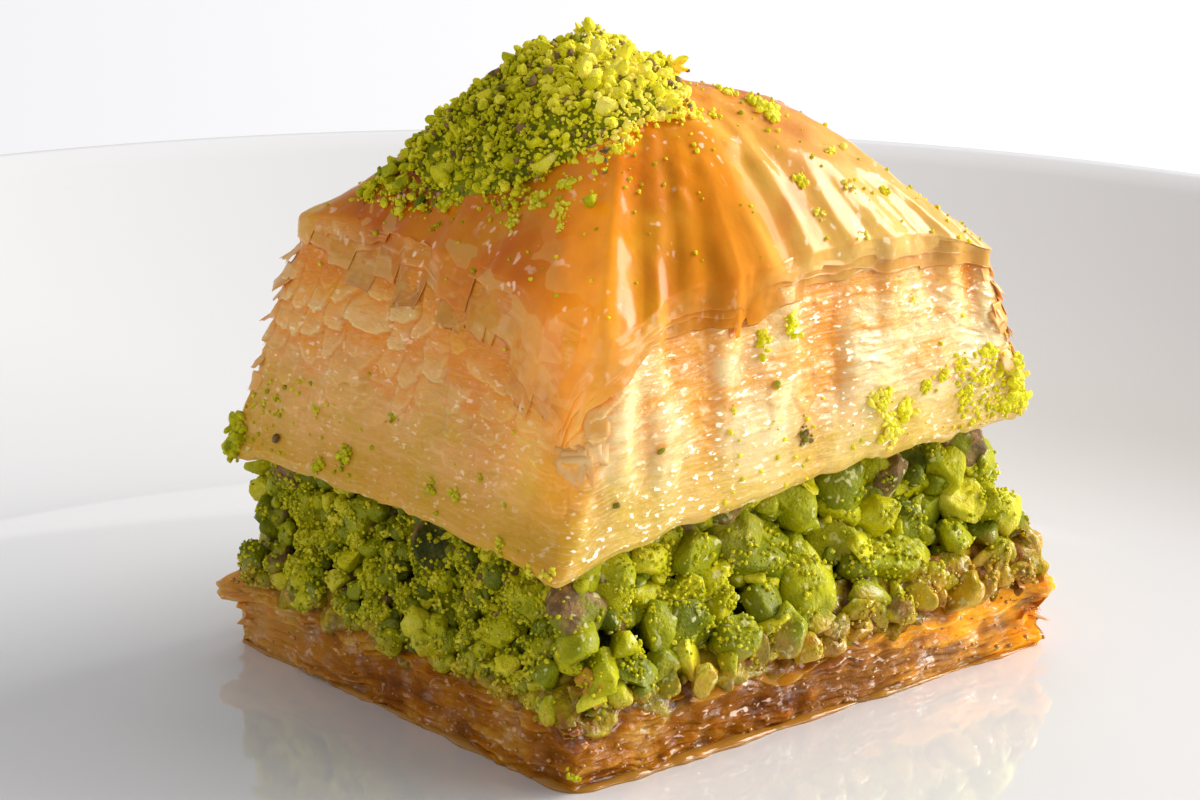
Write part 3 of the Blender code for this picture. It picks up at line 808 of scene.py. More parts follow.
def browned_crust(name, pale):
    """Glossy amber skin. pale lightens it, for the sheets below the top one."""
    material, tree, shader = finish(
        name, Subsurface_Weight=0.35, Subsurface_Scale=0.0016, Coat_Roughness=0.1, Specular_IOR_Level=0.12
    )
    shader.inputs["Subsurface Radius"].default_value = (1.0, 0.4, 0.08)
    patches = grain(tree, 110, 3, (1, 1, 0.7))
    colour = ramp(tree, spread(tree, patches, 0.3, 0.7), (
        (0.0, (0.58, 0.11, 0.0003)),
        (0.4, (0.78, 0.19, 0.0006)),
        (0.7, (0.88, 0.28, 0.003)),
        (1.0, (0.93, 0.40, 0.02)),
    ))
    torn = times(tree, spread(tree, named(tree, "torn"), 0.6, 1.0, pale, 0.7), patches)
    colour = mixed(tree, times(tree, torn, 1.2, True), colour, (0.95, 0.50, 0.13))
    raised = spread(tree, named(tree, "fold"), 0.3, 1.0, 0.0, 0.4)
    colour = mixed(tree, raised, colour, (0.95, 0.44, 0.04))
    pale_scale = spread(tree, named(tree, "scale"), 0.3, 0.9, 0.0, 0.6)
    colour = mixed(tree, pale_scale, colour, (0.97, 0.52, 0.20))
    # painted light: paler towards the window at the right, where the light comes through the thin crust,
    # and painted shade makes the left deeper
    across = placed(tree, TO_WINDOW)
    uneven = sum_of(tree, across, spread(tree, patches, 0.3, 0.7, -0.004, 0.004))
    thin = spread(tree, uneven, 0.017, 0.036, 0.0, 0.6 - 0.7 * pale)
    colour = mixed(tree, thin, colour, (1.0, 0.60, 0.17))
    shaded = mixed(tree, 1.0, colour, (1.0, 0.66, 0.35), "MULTIPLY")
    shade = spread(tree, across, 0.009, -0.003, 0.0, 1.0 - 1.4 * pale)
    shade = times(tree, shade, spread(tree, across, -0.003, -0.014, 1.0, 0.25))
    colour = mixed(tree, shade, colour, shaded)
    # lifted sheets show as paler patches with straight edges, towards the torn edge on the left
    inputs = {"Vector": stretched(tree, (1, 1, 1.5)), "Scale": 340.0}
    cells = add(tree, "ShaderNodeTexVoronoi", inputs, distance="MANHATTAN").outputs["Color"]
    lifted = spread(tree, cells, 0.54, 0.62)
    lifted = times(tree, lifted, spread(tree, named(tree, "torn"), 0.0, 0.5, 0.05, 0.42))
    lifted = times(tree, lifted, spread(tree, across, 0.013, 0.004))
    colour = mixed(tree, lifted, colour, (0.95, 0.48, 0.14))
    blotches = spread(tree, grain(tree, 330, 4, (1, 1, 0.5)), 0.5, 0.66, 0.0, 0.4)
    colour = mixed(tree, blotches, colour, mixed(tree, 1.0, colour, (0.85, 0.55, 0.4), "MULTIPLY"))
    matt = named(tree, "matt")
    colour = mixed(tree, spread(tree, matt, 0.1, 0.9, 0.0, 0.75), colour, (0.72, 0.17, 0.002))
    # painted highlights: bright marks in patches, in the colour and the glow
    patchy = spread(tree, grain(tree, 150, 2), 0.5, 0.62, 0.0, 0.3)
    painted_glints = placed(tree, PAINTED_GLINTS, Share=patchy, Flatness=0.7)
    plug(tree, shader.inputs["Base Color"], mixed(tree, painted_glints, colour, (1.0, 0.92, 0.78)))
    glowing(tree, shader, 0.34, painted_glints)
    rough = sum_of(tree, spread(tree, grain(tree, 300, 3), 0.3, 0.7, 0.2, 0.45), matt, True)
    plug(tree, shader.inputs["Roughness"], rough)
    plug(tree, shader.inputs["Coat Weight"], spread(tree, matt, 0.0, 0.8, 0.4, 0.0))
    lumps = sum_of(tree, grain(tree, 520, 3), times(tree, grain(tree, 1800, 2), 0.3))
    lumps = sum_of(tree, lumps, lifted)
    plug(tree, shader.inputs["Normal"], bumped(tree, lumps, 0.35, 0.00022))
    return material


keep(lid_sheets, "top_pastry", pastry_sheets("buttered sheets"))
keep(crust_top, "top_pastry", browned_crust("browned crust", 0.0))
keep(crust_second, "top_pastry", browned_crust("second crust", 0.3))
keep(crust_third, "top_pastry", browned_crust("third crust", 0.5))

# %% [markdown]
# ## The plate
#
# A dinner plate is one curve turned once round. The curve runs from the middle of the well, over
# the soft bend to the sloping rim, round the lip and back along the underside to the foot ring.
# Porcelain is white, very smooth, and mirrors the food faintly.

# %% Plate
PLATE_STEPS = 220


def plate_line():
    """Radius and height pairs of the plate's cross-section, in mm."""
    line = [(radius, 6.5) for radius in (0, 20, 40, 60, 72, 78)]
    for share in np.linspace(0, 1, 13):
        line.append((80 + 16 * share, 6.5 + 3.3 * share**2))
    for share in np.linspace(0, 1, 17)[1:]:
        line.append((96 + 26.8 * share, 9.8 + 14.4 * share - 0.9 * math.sin(math.pi * share)))
    line += [(123.5, 24.35), (124.2, 24.1), (124.75, 23.4), (125, 22.5), (124.8, 21.6), (124.1, 20.9)]
    line += [(118, 17.6), (98, 6.4), (90, 4.6), (81, 3.2), (77.4, 2.2), (76.5, 0.9), (76.1, 0.2)]
    line += [(75.6, 0.0), (72.0, 0.0), (71.4, 0.3), (70.3, 2.6), (40, 2.6), (0, 2.6)]
    return line


deselect()
line = [(radius * MM, 0, height * MM) for radius, height in plate_line()]
plate_mesh = bpy.data.meshes.new("plate_skin")
plate_mesh.from_pydata(line, [(i, i + 1) for i in range(len(line) - 1)], [])
plate = bpy.data.objects.new("plate_skin", plate_mesh)
bpy.context.scene.collection.objects.link(plate)
plate.select_set(True)
bpy.context.view_layer.objects.active = plate
bpy.ops.object.mode_set(mode="EDIT")
bpy.ops.mesh.select_all(action="SELECT")
bpy.ops.mesh.spin(steps=PLATE_STEPS, angle=math.tau, center=(0, 0, 0), axis=(0, 0, 1))
bpy.ops.mesh.select_all(action="SELECT")
bpy.ops.mesh.remove_doubles(threshold=WELD)
bpy.ops.mesh.normals_make_consistent(inside=False)
bpy.ops.object.mode_set(mode="OBJECT")
bpy.ops.object.shade_smooth()

porcelain, _, _ = finish(
    "porcelain", Base_Color=(0.84, 0.84, 0.85), Roughness=0.05, Coat_Weight=0.6, Coat_Roughness=0.03
)
keep(plate, "plate", porcelain)

# %% [markdown]
# ## The soaked slab
#
# The lower sheets drank the syrup and settled into one amber mass, in which the sheets show only
# as strands. Its sides are torn by the knife: strands stand out, sag and stick together. A bed of
# soaked crumbs lies on it, under the nuts. The corners at the left and right kept a few dry tips.

# %% Slab
SLAB_SHEETS = 12
# turn, length in mm and level of the dry tips at the corners
SLAB_TIPS = ((3.0, 2.2, 0.78), (1.0, 1.7, 0.85))


def slab_side(turn, level):
    x, y, out_x, out_y = outline(turn, SLAB_LOW, SLAB_LOW, 0)
    z = level * SLAB_HEIGHT
    line = level * SLAB_SHEETS + 1.5 * wander(x, y, z * 0.4, 4.6, 31)
    line = line + 0.6 * wander(x, y, z * 0.4, 1.4, 32)
    sheet = np.floor(line)
    above = line - sheet
    own = sheet_random[(sheet.astype(int) + 60) % OWN_NUMBERS]
    patch = smooth_step(wander(x, y, sheet * 3.1, 2.9, 33), -0.5, 0.5)
    strand = np.sin(np.pi * above) ** 0.7
    reach = (0.15 + 0.5 * own) * patch * strand * (1 + 0.5 * wander(x, y, sheet * 5.1, 0.7, 34))
    lumps = 0.36 * wander(x, y, z, 3.8, 35) + 0.24 * wander(x, y, z * 1.4, 1.3, 36)
    drops = 0.22 * np.clip(wander(x, y, z, 0.62, 37) - 0.25, 0, 1)
    reach = reach + lumps + drops - 0.35 - 0.9 * smooth_step(level, 0.75, 1.0)
    for corner, long, at_level in SLAB_TIPS:
        beside = np.exp(-(((turn - corner) / 0.045) ** 2))
        reach = reach + long * beside * np.exp(-(((level - at_level) / 0.22) ** 2)) * (0.6 + 0.4 * own)
    hang = -0.3 * patch * strand
    return x + out_x * reach, y + out_y * reach, z + hang * smooth_step(level, 0.1, 0.3), reach


def slab_place(turn, run):
    under, over = 0.06, 0.84
    level = np.clip((run - under) / (over - under), 0, 1)
    x, y, z, reach = slab_side(turn, level)
    inward = np.clip(np.minimum(run / under, (1 - run) / (1 - over)), 0, 1) ** 0.7
    x, y = x * inward, y * inward
    rough_top = SLAB_HEIGHT - 0.1 + 0.5 * wander(x, y, 0, 2.6, 38) + 0.2 * wander(x, y, 0, 0.9, 39)
    flat = np.minimum((1 - inward) * 6, 1)
    z = z + flat * (np.where(run < 0.5, 0.02, rough_top) - z)
    return x, y, np.maximum(z, 0.02), {"fold": reach}


def crumb_bed_place(turn, run):
    """The lumpy soaked crumbs that lie between the slab and the nuts."""
    level = np.clip((run - 0.12) / 0.76, 0, 1)
    x, y, out_x, out_y = outline(turn, SLAB_LOW, SLAB_LOW, 0)
    z = 3.7 + (4.0 + 1.8 * smooth_step(x, -12, 18)) * level + 0.8 * wander(x, y, 0, 2.8, 71)
    lumps = 0.5 * wander(x, y, z, 1.6, 72) + 0.34 * wander(x, y, z, 0.75, 73)
    lumps = lumps + 0.14 * wander(x, y, z, 0.4, 74)
    reach = lumps - 0.1 - 1.5 * smooth_step(level, 0.55, 1.0) - 0.7 * smooth_step(level, 0.25, 0.0)
    inward = np.clip(np.minimum(run, 1 - run) / 0.12, 0, 1) ** 0.7
    x, y = (x + out_x * reach) * inward, (y + out_y * reach) * inward
    flat = np.minimum((1 - inward) * 6, 1)
    return x, y, z + flat * (5.6 - z) * 0.9, {"fold": lumps}


slab = rolled("slab", 600, 150, slab_place)
crumb_bed = rolled("crumb_bed", 640, 60, crumb_bed_place)


def soaked_slab():
    material, tree, shader = finish(
        "soaked slab", Subsurface_Weight=0.5, Subsurface_Scale=0.003, Coat_Roughness=0.05,
        Specular_IOR_Level=0.08,
    )
    shader.inputs["Subsurface Radius"].default_value = (1.0, 0.42, 0.12)
    patches = grain(tree, 190, 4, (1, 1, 2.2))
    colour = ramp(tree, spread(tree, patches, 0.28, 0.72), (
        (0.0, (0.13, 0.032, 0.0005)),
        (0.3, (0.27, 0.078, 0.001)),
        (0.6, (0.42, 0.14, 0.003)),
        (0.85, (0.56, 0.25, 0.02)),
        (1.0, (0.70, 0.40, 0.10)),
    ))
    # painted shade where the side is recessed
    recess_shade = spread(tree, named(tree, "fold"), -0.2, -1.0, 0.0, 0.7)
    colour = mixed(tree, recess_shade, colour, (0.13, 0.03, 0.001))
    where = place_of(tree)
    across = placed(tree, TO_WINDOW)
    # painted light: paler at the left corner lit from behind, lighter towards the right, and an orange
    # emission glow at the right corner for the light through it
    uneven = sum_of(tree, across, spread(tree, patches, 0.3, 0.7, -0.004, 0.004))
    pale = spread(tree, uneven, -0.014, -0.026, 0.0, 0.6)
    colour = mixed(tree, pale, colour, (0.80, 0.40, 0.08))
    sunlit = times(tree, spread(tree, where["X"], 0.034, 0.052, 0.0, 0.9), patches)
    colour = mixed(tree, sunlit, colour, (0.85, 0.46, 0.16))
    corner_glow = spread(tree, times(tree, where["X"], patches), 0.0205, 0.028, 0.0, 0.9)
    colour = mixed(tree, corner_glow, colour, (0.95, 0.38, 0.008))
    # painted highlights: bright marks, mostly on the side that faces the window
    facing = spread(tree, where["Y"], 0.012, 0.007, 0.3, 1.0)
    patchy = spread(tree, grain(tree, 170, 2), 0.4, 0.6, 0.1, 0.7)
    painted_glints = placed(tree, PAINTED_GLINTS, Share=times(tree, facing, patchy), Flatness=2.2)
    plug(tree, shader.inputs["Base Color"], mixed(tree, painted_glints, colour, (0.92, 0.68, 0.52)))
    light = mixed(tree, corner_glow, (0, 0, 0), (1.0, 0.36, 0.0))
    plug(tree, shader.inputs["Emission Color"], mixed(tree, painted_glints, light, (1.5, 1.2, 1.0)))
    shader.inputs["Emission Strength"].default_value = 0.2
    plug(tree, shader.inputs["Roughness"], spread(tree, grain(tree, 500, 3), 0.3, 0.7, 0.12, 0.4))
    plug(tree, shader.inputs["Coat Weight"], spread(tree, grain(tree, 620, 3), 0.52, 0.66, 0.0, 0.9))
    strands = sum_of(tree, grain(tree, 420, 4, (1, 1, 3.5)), grain(tree, 900, 3, (1, 1, 2)))
    plug(tree, shader.inputs["Normal"], bumped(tree, strands, 0.9, 0.0003))
    return material


def soaked_crumbs():
    material, tree, shader = finish(
        "soaked crumbs", Subsurface_Weight=0.3, Subsurface_Scale=0.0015, Coat_Roughness=0.08,
        Specular_IOR_Level=0.15, Roughness=0.4,
    )
    shader.inputs["Subsurface Radius"].default_value = (1.0, 0.6, 0.12)
    patches = spread(tree, grain(tree, 420, 4), 0.3, 0.7)
    colour = ramp(tree, patches, (
        (0.0, (0.12, 0.035, 0.001)),
        (0.3, (0.30, 0.12, 0.003)),
        (0.5, (0.34, 0.24, 0.004)),
        (0.75, (0.50, 0.36, 0.008)),
        (1.0, (0.62, 0.30, 0.03)),
    ))
    # painted shade where the crumbs are recessed
    recess_shade = spread(tree, named(tree, "fold"), 0.0, -0.6, 0.0, 0.7)
    plug(tree, shader.inputs["Base Color"], mixed(tree, recess_shade, colour, (0.10, 0.03, 0.001)))
    plug(tree, shader.inputs["Coat Weight"], spread(tree, grain(tree, 600, 3), 0.42, 0.6, 0.0, 1.0))
    rough = sum_of(tree, grain(tree, 1100, 4), grain(tree, 2600, 2))
    plug(tree, shader.inputs["Normal"], bumped(tree, rough, 0.9, 0.0003))
    return material


keep(slab, "bottom_pastry", soaked_slab())
keep(crumb_bed, "bottom_pastry", soaked_crumbs())

# %% [markdown]
# ## Broken nuts
#
# A chopped pistachio is a rounded kernel with flat cuts. Each one starts from the same small ball.
# The ball is stretched, pressed flat against a few planes where the knife went through, and
# roughened. All of them are worked out together and joined into one mesh, so hundreds of
# different nuts are made in one step. Named values say how green each one is and where it was cut.

# %% Broken nuts


def ball(subdivisions):
    """The points and triangles of a ball."""
    deselect()
    bpy.ops.mesh.primitive_ico_sphere_add(subdivisions=subdivisions, radius=1)
    made = bpy.context.object
    points = np.array([v.co[:] for v in made.data.vertices])
    faces = np.array([p.vertices[:] for p in made.data.polygons])
    bpy.ops.object.delete()
    return points, faces


def random_ways(rng, count):
    ways = rng.normal(size=(count, 3))
    return ways / np.linalg.norm(ways, axis=1, keepdims=True)


def turned(rng, count):
    """Random rotation matrices."""
    first = random_ways(rng, count)
    second = np.cross(first, random_ways(rng, count))
    second /= np.linalg.norm(second, axis=1, keepdims=True)
    return np.stack([first, second, np.cross(first, second)], 1)


def broken(rng, base, places, sizes, cuts, rough, shape=(1, 1, 1), outward=None):
    """Points and cut marks of many broken nuts, from one ball."""
    count = len(places)
    points = np.repeat(base[None], count, 0)
    marks = np.zeros(points.shape[:2])
    for cut in range(cuts):
        way = random_ways(rng, count)
        if cut == 0 and outward is not None:
            lean = rng.uniform(size=(count, 1)) < 0.6
            way = np.where(lean, outward + 0.35 * way, way)
            way /= np.linalg.norm(way, axis=1, keepdims=True)
        at = rng.uniform(0.35, 0.8, (count, 1))
        over = np.einsum("cvk,ck->cv", points, way) - at
        points = points - np.maximum(over, 0)[..., None] * way[:, None]
        marks = np.maximum(marks, 0.88 * smooth_step(over, 0.0, 0.08))
    seed = rng.uniform(0, 60, (count, 1))
    grit = wander(points[..., 0] + seed, points[..., 1], points[..., 2], 0.42, 41)
    swell = wander(points[..., 0] + seed, points[..., 1], points[..., 2], 0.9, 42)
    noise = (0.6 * grit + 0.6 * swell) * (1 - 0.7 * marks)
    points = points * (1 + rough * noise[..., None])
    points = points * (np.array(shape) * rng.uniform(0.82, 1.2, (count, 3)))[:, None]
    points = np.einsum("cvk,ckj->cvj", points, turned(rng, count))
    return points * sizes[:, None, None] + places[:, None], marks


def joined(name, parts):
    """One mesh from many (points, faces, values) parts, in mm about the sweet's middle."""
    points, faces, values, start = [], [], {}, 0
    for part_points, part_faces, part_values in parts:
        count, size = part_points.shape[:2]
        points.append(part_points.reshape(-1, 3))
        offsets = start + np.arange(count)[:, None, None] * size
        faces.append((part_faces[None] + offsets).reshape(-1, 3))
        for key, value in part_values.items():
            spread_out = np.broadcast_to(value, (count, size)).ravel()
            values.setdefault(key, []).append(spread_out)
        start += count * size
    points, faces = np.concatenate(points), np.concatenate(faces)
    mesh = bpy.data.meshes.new(name)
    mesh.vertices.add(len(points))
    mesh.loops.add(faces.size)
    mesh.polygons.add(len(faces))
    points = (points + (SWEET_X, SWEET_Y, WELL_Z)) * MM
    mesh.vertices.foreach_set("co", points.ravel())
    mesh.loops.foreach_set("vertex_index", faces.ravel())
    mesh.polygons.foreach_set("loop_start", np.arange(0, faces.size, 3))
    cut = np.concatenate(values["cut"])
    mesh.polygons.foreach_set("use_smooth", cut[faces].min(1) < 0.9)
    mesh.update(calc_edges=True)
    for key, value in values.items():
        attribute = mesh.attributes.new(key, "FLOAT", "POINT")
        attribute.data.foreach_set("value", np.concatenate(value).astype(np.float32))
    piece = bpy.data.objects.new(name, mesh)
    bpy.context.scene.collection.objects.link(piece)
    return piece


ball_20, ball_80, ball_320, ball_1280 = (ball(n) for n in (1, 2, 3, 4))
print("balls with", [len(b[1]) for b in (ball_20, ball_80, ball_320, ball_1280)], "faces")

# %% [markdown]
# ## The filling
#
# The nuts were pressed in a layer between the pastries and cut through with them, so they show at
# every side. They are laid in rows round a core whose dark tone is painted shade in the gaps, with
# small bits in the gaps and powder over all. At the left they are fine, at the right coarse. Low
# down they are brown with syrup. A few nuts stand out in the picture, and those are placed one by one.

# %% Filling


def nut_wall(turn, z, inset):
    """A place on the filling's side, inset mm inside it."""
    level = np.clip((z - NUTS_START) / (LID_UNDERSIDE - NUTS_START), 0, 1)
    x, y, out_x, out_y = outline(turn, NUTS_LOW, NUTS_TOP, level)
    return np.stack([x - out_x * inset, y - out_y * inset, np.broadcast_to(z, x.shape)], -1), out_x, out_y


def core_place(turn, run):
    level = np.clip((run - 0.1) / 0.8, 0, 1)
    z = NUTS_START - 1.6 + level * (LID_UNDERSIDE - NUTS_START + 1.8)
    inner, _, _ = nut_wall(turn, z, 2.2)
    lumps = 0.6 * wander(inner[:, 0], inner[:, 1], z, 2.2, 43)
    at, _, _ = nut_wall(turn, z, 2.2 - lumps)
    inward = np.clip(np.minimum(run / 0.1, (1 - run) / 0.1), 0, 1)
    x, y = at[:, 0] * inward, at[:, 1] * inward
    top = np.minimum(z, lid_underside(x, y) + 0.6)
    # the core's dark tone is painted shade in the gaps between the nuts
    return x, y, top, {"tone": 0.1}


# the way round the filling, in mm, and how much finer the nuts are at the left
NUTS_ROUND, FINE_AT_LEFT = 160, 0.66
nut_random = np.random.default_rng(77)
NUT_ROWS = (  # height, size, inset, spacing
    (6.2, 1.1, -1.4, 2.3),
    (7.6, 1.4, -0.9, 2.7),
    (9.4, 1.7, 0.1, 3.1),
    (11.4, 2.0, 1.2, 3.6),
    (13.6, 2.0, 1.5, 3.6),
    (15.7, 1.9, 1.6, 3.5),
    (17.2, 1.5, 1.9, 3.2),
)
row_places, row_sizes, row_out = [], [], []
for row, (height, size, inset, spacing) in enumerate(NUT_ROWS):
    count = int(NUTS_ROUND / spacing)
    turn = (np.arange(count) + 0.5 * (row % 2) + nut_random.uniform(-0.3, 0.3, count)) / count * 4 % 4
    z = height + nut_random.uniform(-0.6, 0.6, count)
    at, out_x, out_y = nut_wall(turn, z, inset + nut_random.uniform(-0.7, 0.8, count))
    fine = np.where(out_x < -0.5, FINE_AT_LEFT, 1.0)
    at[:, 2] = np.minimum(z, lid_underside(at[:, 0], at[:, 1]) - size * 0.55)
    row_places.append(at)
    row_sizes.append(size * fine * nut_random.uniform(0.78, 1.25, count))
    row_out.append(np.stack([out_x, out_y, out_x * 0], -1))
row_places, row_sizes, row_out = (np.concatenate(v) for v in (row_places, row_sizes, row_out))
row_points, row_cuts = broken(
    nut_random, ball_320[0], row_places, row_sizes, 4, 0.34, (1.25, 0.95, 1.0), row_out
)
row_tone = nut_random.uniform(0.25, 1, (len(row_places), 1))
row_skin = (nut_random.uniform(size=(len(row_places), 1)) < 0.1) * 1.0

# small bits between the large nuts: some all round, and the rest at the left
BITS, BITS_ALL_ROUND = 1500, 900
bit_turn = nut_random.uniform(0, 4, BITS)
bit_turn[BITS_ALL_ROUND:] = nut_random.uniform(2.95, 3.95, BITS - BITS_ALL_ROUND)
bit_z = nut_random.uniform(5.6, 17.4, BITS)
bit_inset = nut_random.uniform(-0.2, 1.6, BITS) - 1.7 * smooth_step(bit_z, 9, 6)
bit_at, _, _ = nut_wall(bit_turn, bit_z, bit_inset)
bit_at[:, 2] = np.minimum(bit_z, lid_underside(bit_at[:, 0], bit_at[:, 1]) - 0.5)
bit_size = nut_random.uniform(0.35, 1.05, BITS)
bit_points, bit_cuts = broken(nut_random, ball_80[0], bit_at, bit_size, 3, 0.3)
bit_tone = nut_random.uniform(0.1, 1, (BITS, 1))
bit_skin = (nut_random.uniform(size=(BITS, 1)) < 0.1) * 1.0

# x, y, z, size, tone, skin, shape of the nuts that stand out
STANDING_NUTS = (
    (18.0, -15.4, 16.0, 2.0, 0.35, 1.0, (1.2, 0.9, 0.9)),
    (15.8, -15.8, 14.2, 1.9, 0.8, 0.0, (1.2, 0.8, 0.8)),
    (17.1, -16.6, 12.1, 1.8, 1.05, 0.0, (1.1, 0.9, 0.9)),
    (10.2, -16.0, 14.8, 1.6, 0.3, 0.9, (1.3, 0.8, 0.7)),
    (5.6, -15.6, 15.8, 2.1, 0.35, 0.0, (1.1, 0.9, 0.9)),
    (7.9, -16.5, 13.0, 1.8, 0.8, 0.1, (1.1, 0.9, 0.9)),
    (5.9, -17.4, 11.0, 1.6, 0.97, 0.0, (0.7, 0.7, 1.3)),
    (0.4, -17.0, 9.2, 2.5, 0.72, 0.0, (1.0, 0.8, 1.0)),
    (-4.1, -15.6, 16.4, 2.1, 0.5, 1.0, (1.4, 0.7, 0.6)),
    (-4.7, -16.0, 13.7, 2.5, 0.55, 0.2, (1.1, 1.0, 0.9)),
    (0.2, -15.6, 15.0, 1.9, 0.6, 0.0, (1.0, 1.0, 0.9)),
    (-8.9, -16.4, 13.6, 2.1, 0.5, 0.0, (1.2, 0.9, 0.8)),
    (-10.3, -17.3, 11.6, 1.4, 0.85, 0.0, (0.8, 0.8, 1.2)),
    (-13.0, -15.6, 14.3, 1.9, 0.3, 0.0, (0.9, 0.9, 1.2)),
    (-17.2, -15.6, 13.2, 1.5, 0.35, 1.0, (1.1, 0.9, 0.9)),
    (-19.6, -12.5, 11.9, 2.5, 0.65, 0.0, (1.25, 0.9, 0.7)),
    (-21.0, -17.8, 9.9, 1.8, 0.6, 0.0, (1.1, 0.9, 0.9)),
    (-19.2, -0.4, 12.9, 2.5, 0.02, 0.9, (1.3, 0.8, 0.8)),
    (-18.6, -6.1, 12.2, 2.0, 0.0, 1.0, (1.0, 0.9, 0.8)),
    (-19.4, 6.9, 13.2, 2.1, 0.55, 0.0, (1.0, 1.0, 0.9)),
    (-19.7, 20.0, 11.2, 1.1, 0.97, 0.0, (1.1, 1.0, 1.0)),
    (-19.5, 20.0, 13.2, 1.1, 0.7, 0.0, (1.3, 0.8, 0.7)),
    (20.6, -17.4, 10.6, 1.9, 1.0, 0.1, (1.2, 0.9, 0.8)),
    (22.6, -18.4, 7.7, 1.2, 1.2, 0.5, (1.2, 0.8, 0.8)),
    (-20.4, -19.1, 6.7, 1.5, 2.0, 0.0, (1.0, 0.8, 1.1)),
)
STANDING_SWELL = 1.08
standing_parts = []
for x, y, z, size, tone, skin, shape in STANDING_NUTS:
    place, sizes = np.array([[x, y, z]]), np.array([size * STANDING_SWELL])
    points, cuts = broken(nut_random, ball_1280[0], place, sizes, 3, 0.24, shape)
    standing_parts.append((points, ball_1280[1], {"tone": tone, "cut": cuts, "skin": skin}))

print(len(row_places), "nuts in rows,", BITS, "small bits and", len(STANDING_NUTS), "that stand out")

nut_core = rolled("nut_core", 200, 40, core_place)
row_values = {"tone": row_tone, "cut": row_cuts, "skin": row_skin}
bit_values = {"tone": bit_tone, "cut": bit_cuts, "skin": bit_skin}
chopped = joined("chopped_nuts", [(row_points, ball_320[1], row_values)])
nut_bits = joined("nut_bits", [(bit_points, ball_80[1], bit_values)])
standing = joined("standing_nuts", standing_parts)

# %% [markdown]
# ## What the nuts look like
#
# Pistachio flesh is bright yellow-green where it was cut, deeper green beneath its skin, and the
# skin is purple and brown. `tone` runs from dark green to yellow-green, and past 1 it is a nut that
# the syrup turned orange. Near the slab the syrup has browned them all.

# %% Nut materials
SOAKED_TOP = 0.0148  # height below which the nuts are brown with syrup


def nut_finish(name, clearness, soaked):
    """Soaked nuts are brown near the slab, and the dry ones on top get a painted glow of the window's
    light.
    """
    material, tree, shader = finish(
        name, Subsurface_Weight=clearness, Subsurface_Scale=0.0008, Specular_IOR_Level=0.14
    )
    plug(tree, shader.inputs["Roughness"], spread(tree, grain(tree, 800, 3), 0.35, 0.65, 0.3, 0.6))
    shader.inputs["Subsurface Radius"].default_value = (0.8, 1.0, 0.2)
    speckle = spread(tree, grain(tree, 700, 3), 0.3, 0.7, -0.13, 0.13)
    tone = sum_of(tree, named(tree, "tone"), speckle)
    flesh = ramp(tree, times(tree, tone, 0.5), (
        (0.0, (0.04, 0.05, 0.001)),
        (0.12, (0.15, 0.175, 0.002)),
        (0.28, (0.38, 0.385, 0.002)),
        (0.42, (0.66, 0.61, 0.003)),
        (0.52, (0.88, 0.78, 0.04)),
        (0.6, (0.92, 0.80, 0.12)),
        (0.8, (0.80, 0.45, 0.05)),
        (1.0, (0.82, 0.36, 0.04)),
    ))
    skin_marks = grain(tree, 900, 3)
    skin_colour = ramp(tree, spread(tree, skin_marks, 0.3, 0.7), (
        (0.0, (0.08, 0.025, 0.03)),
        (0.45, (0.22, 0.07, 0.07)),
        (0.75, (0.42, 0.18, 0.12)),
        (1.0, (0.42, 0.36, 0.06)),
    ))
    uncut = combined(tree, "SUBTRACT", 1.0, named(tree, "cut"))
    skinned = times(tree, named(tree, "skin"), times(tree, uncut, 0.9))
    patchy = spread(tree, grain(tree, 420, 2), 0.36, 0.5)
    colour = mixed(tree, times(tree, skinned, patchy, True), flesh, skin_colour)
    dim = spread(tree, uncut, 0.0, 1.0, 0.0, 0.22)
    colour = mixed(tree, dim, colour, (0.24, 0.28, 0.006))
    if soaked:
        where = place_of(tree)
        z = sum_of(tree, where["Z"], spread(tree, where["X"], 0.012, 0.058, 0.001, -0.0024))
        low = sum_of(tree, z, spread(tree, grain(tree, 260, 3), 0.3, 0.7, -0.0022, 0.0022))
        stain = spread(tree, grain(tree, 330, 3), 0.35, 0.65)
        brown = mixed(tree, stain, (0.44, 0.17, 0.003), (0.78, 0.46, 0.015))
        share = spread(tree, low, SOAKED_TOP - 0.0042, SOAKED_TOP - 0.0008, 0.88, 0.0)
        colour = mixed(tree, share, colour, brown)
        wet = spread(tree, low, SOAKED_TOP - 0.0042, SOAKED_TOP + 0.001, 0.9, 0.1)
        plug(tree, shader.inputs["Coat Weight"], wet)
        shader.inputs["Coat Roughness"].default_value = 0.12
        # painted highlights: bright marks on the side that faces the window
        facing = spread(tree, where["Y"], 0.013, 0.009, 0.1, 0.55)
        facing = times(tree, facing, patchy)
        painted_glints = placed(tree, PAINTED_GLINTS, Scale=1500, Share=facing, Flatness=1.0)
        colour = mixed(tree, painted_glints, colour, (0.95, 0.92, 0.45))
    else:
        # painted light: an emission glow that grows towards the window
        light = mixed(tree, spread(tree, placed(tree, TO_WINDOW), 0.0, 0.018), (0, 0, 0), colour)
        plug(tree, shader.inputs["Emission Color"], light)
        shader.inputs["Emission Strength"].default_value = 0.22
    plug(tree, shader.inputs["Base Color"], colour)
    grit = sum_of(tree, grain(tree, 1300, 4), grain(tree, 3300, 3))
    plug(tree, shader.inputs["Normal"], bumped(tree, grit, 0.75, 0.00028))
    return material


nuts_finish = nut_finish("chopped nuts", 0.2, True)
dust_finish = nut_finish("ground nuts", 0.0, False)
for piece in (nut_core, chopped, nut_bits, standing):
    keep(piece, "chopped_pistachios", nuts_finish)

# %% [markdown]
# ## Powder on the filling
#
# Fine grains stick to the nuts in little clumps. Rays are sent in from all round, and a grain is
# left where each ray first meets a nut.

# %% Powder on the filling


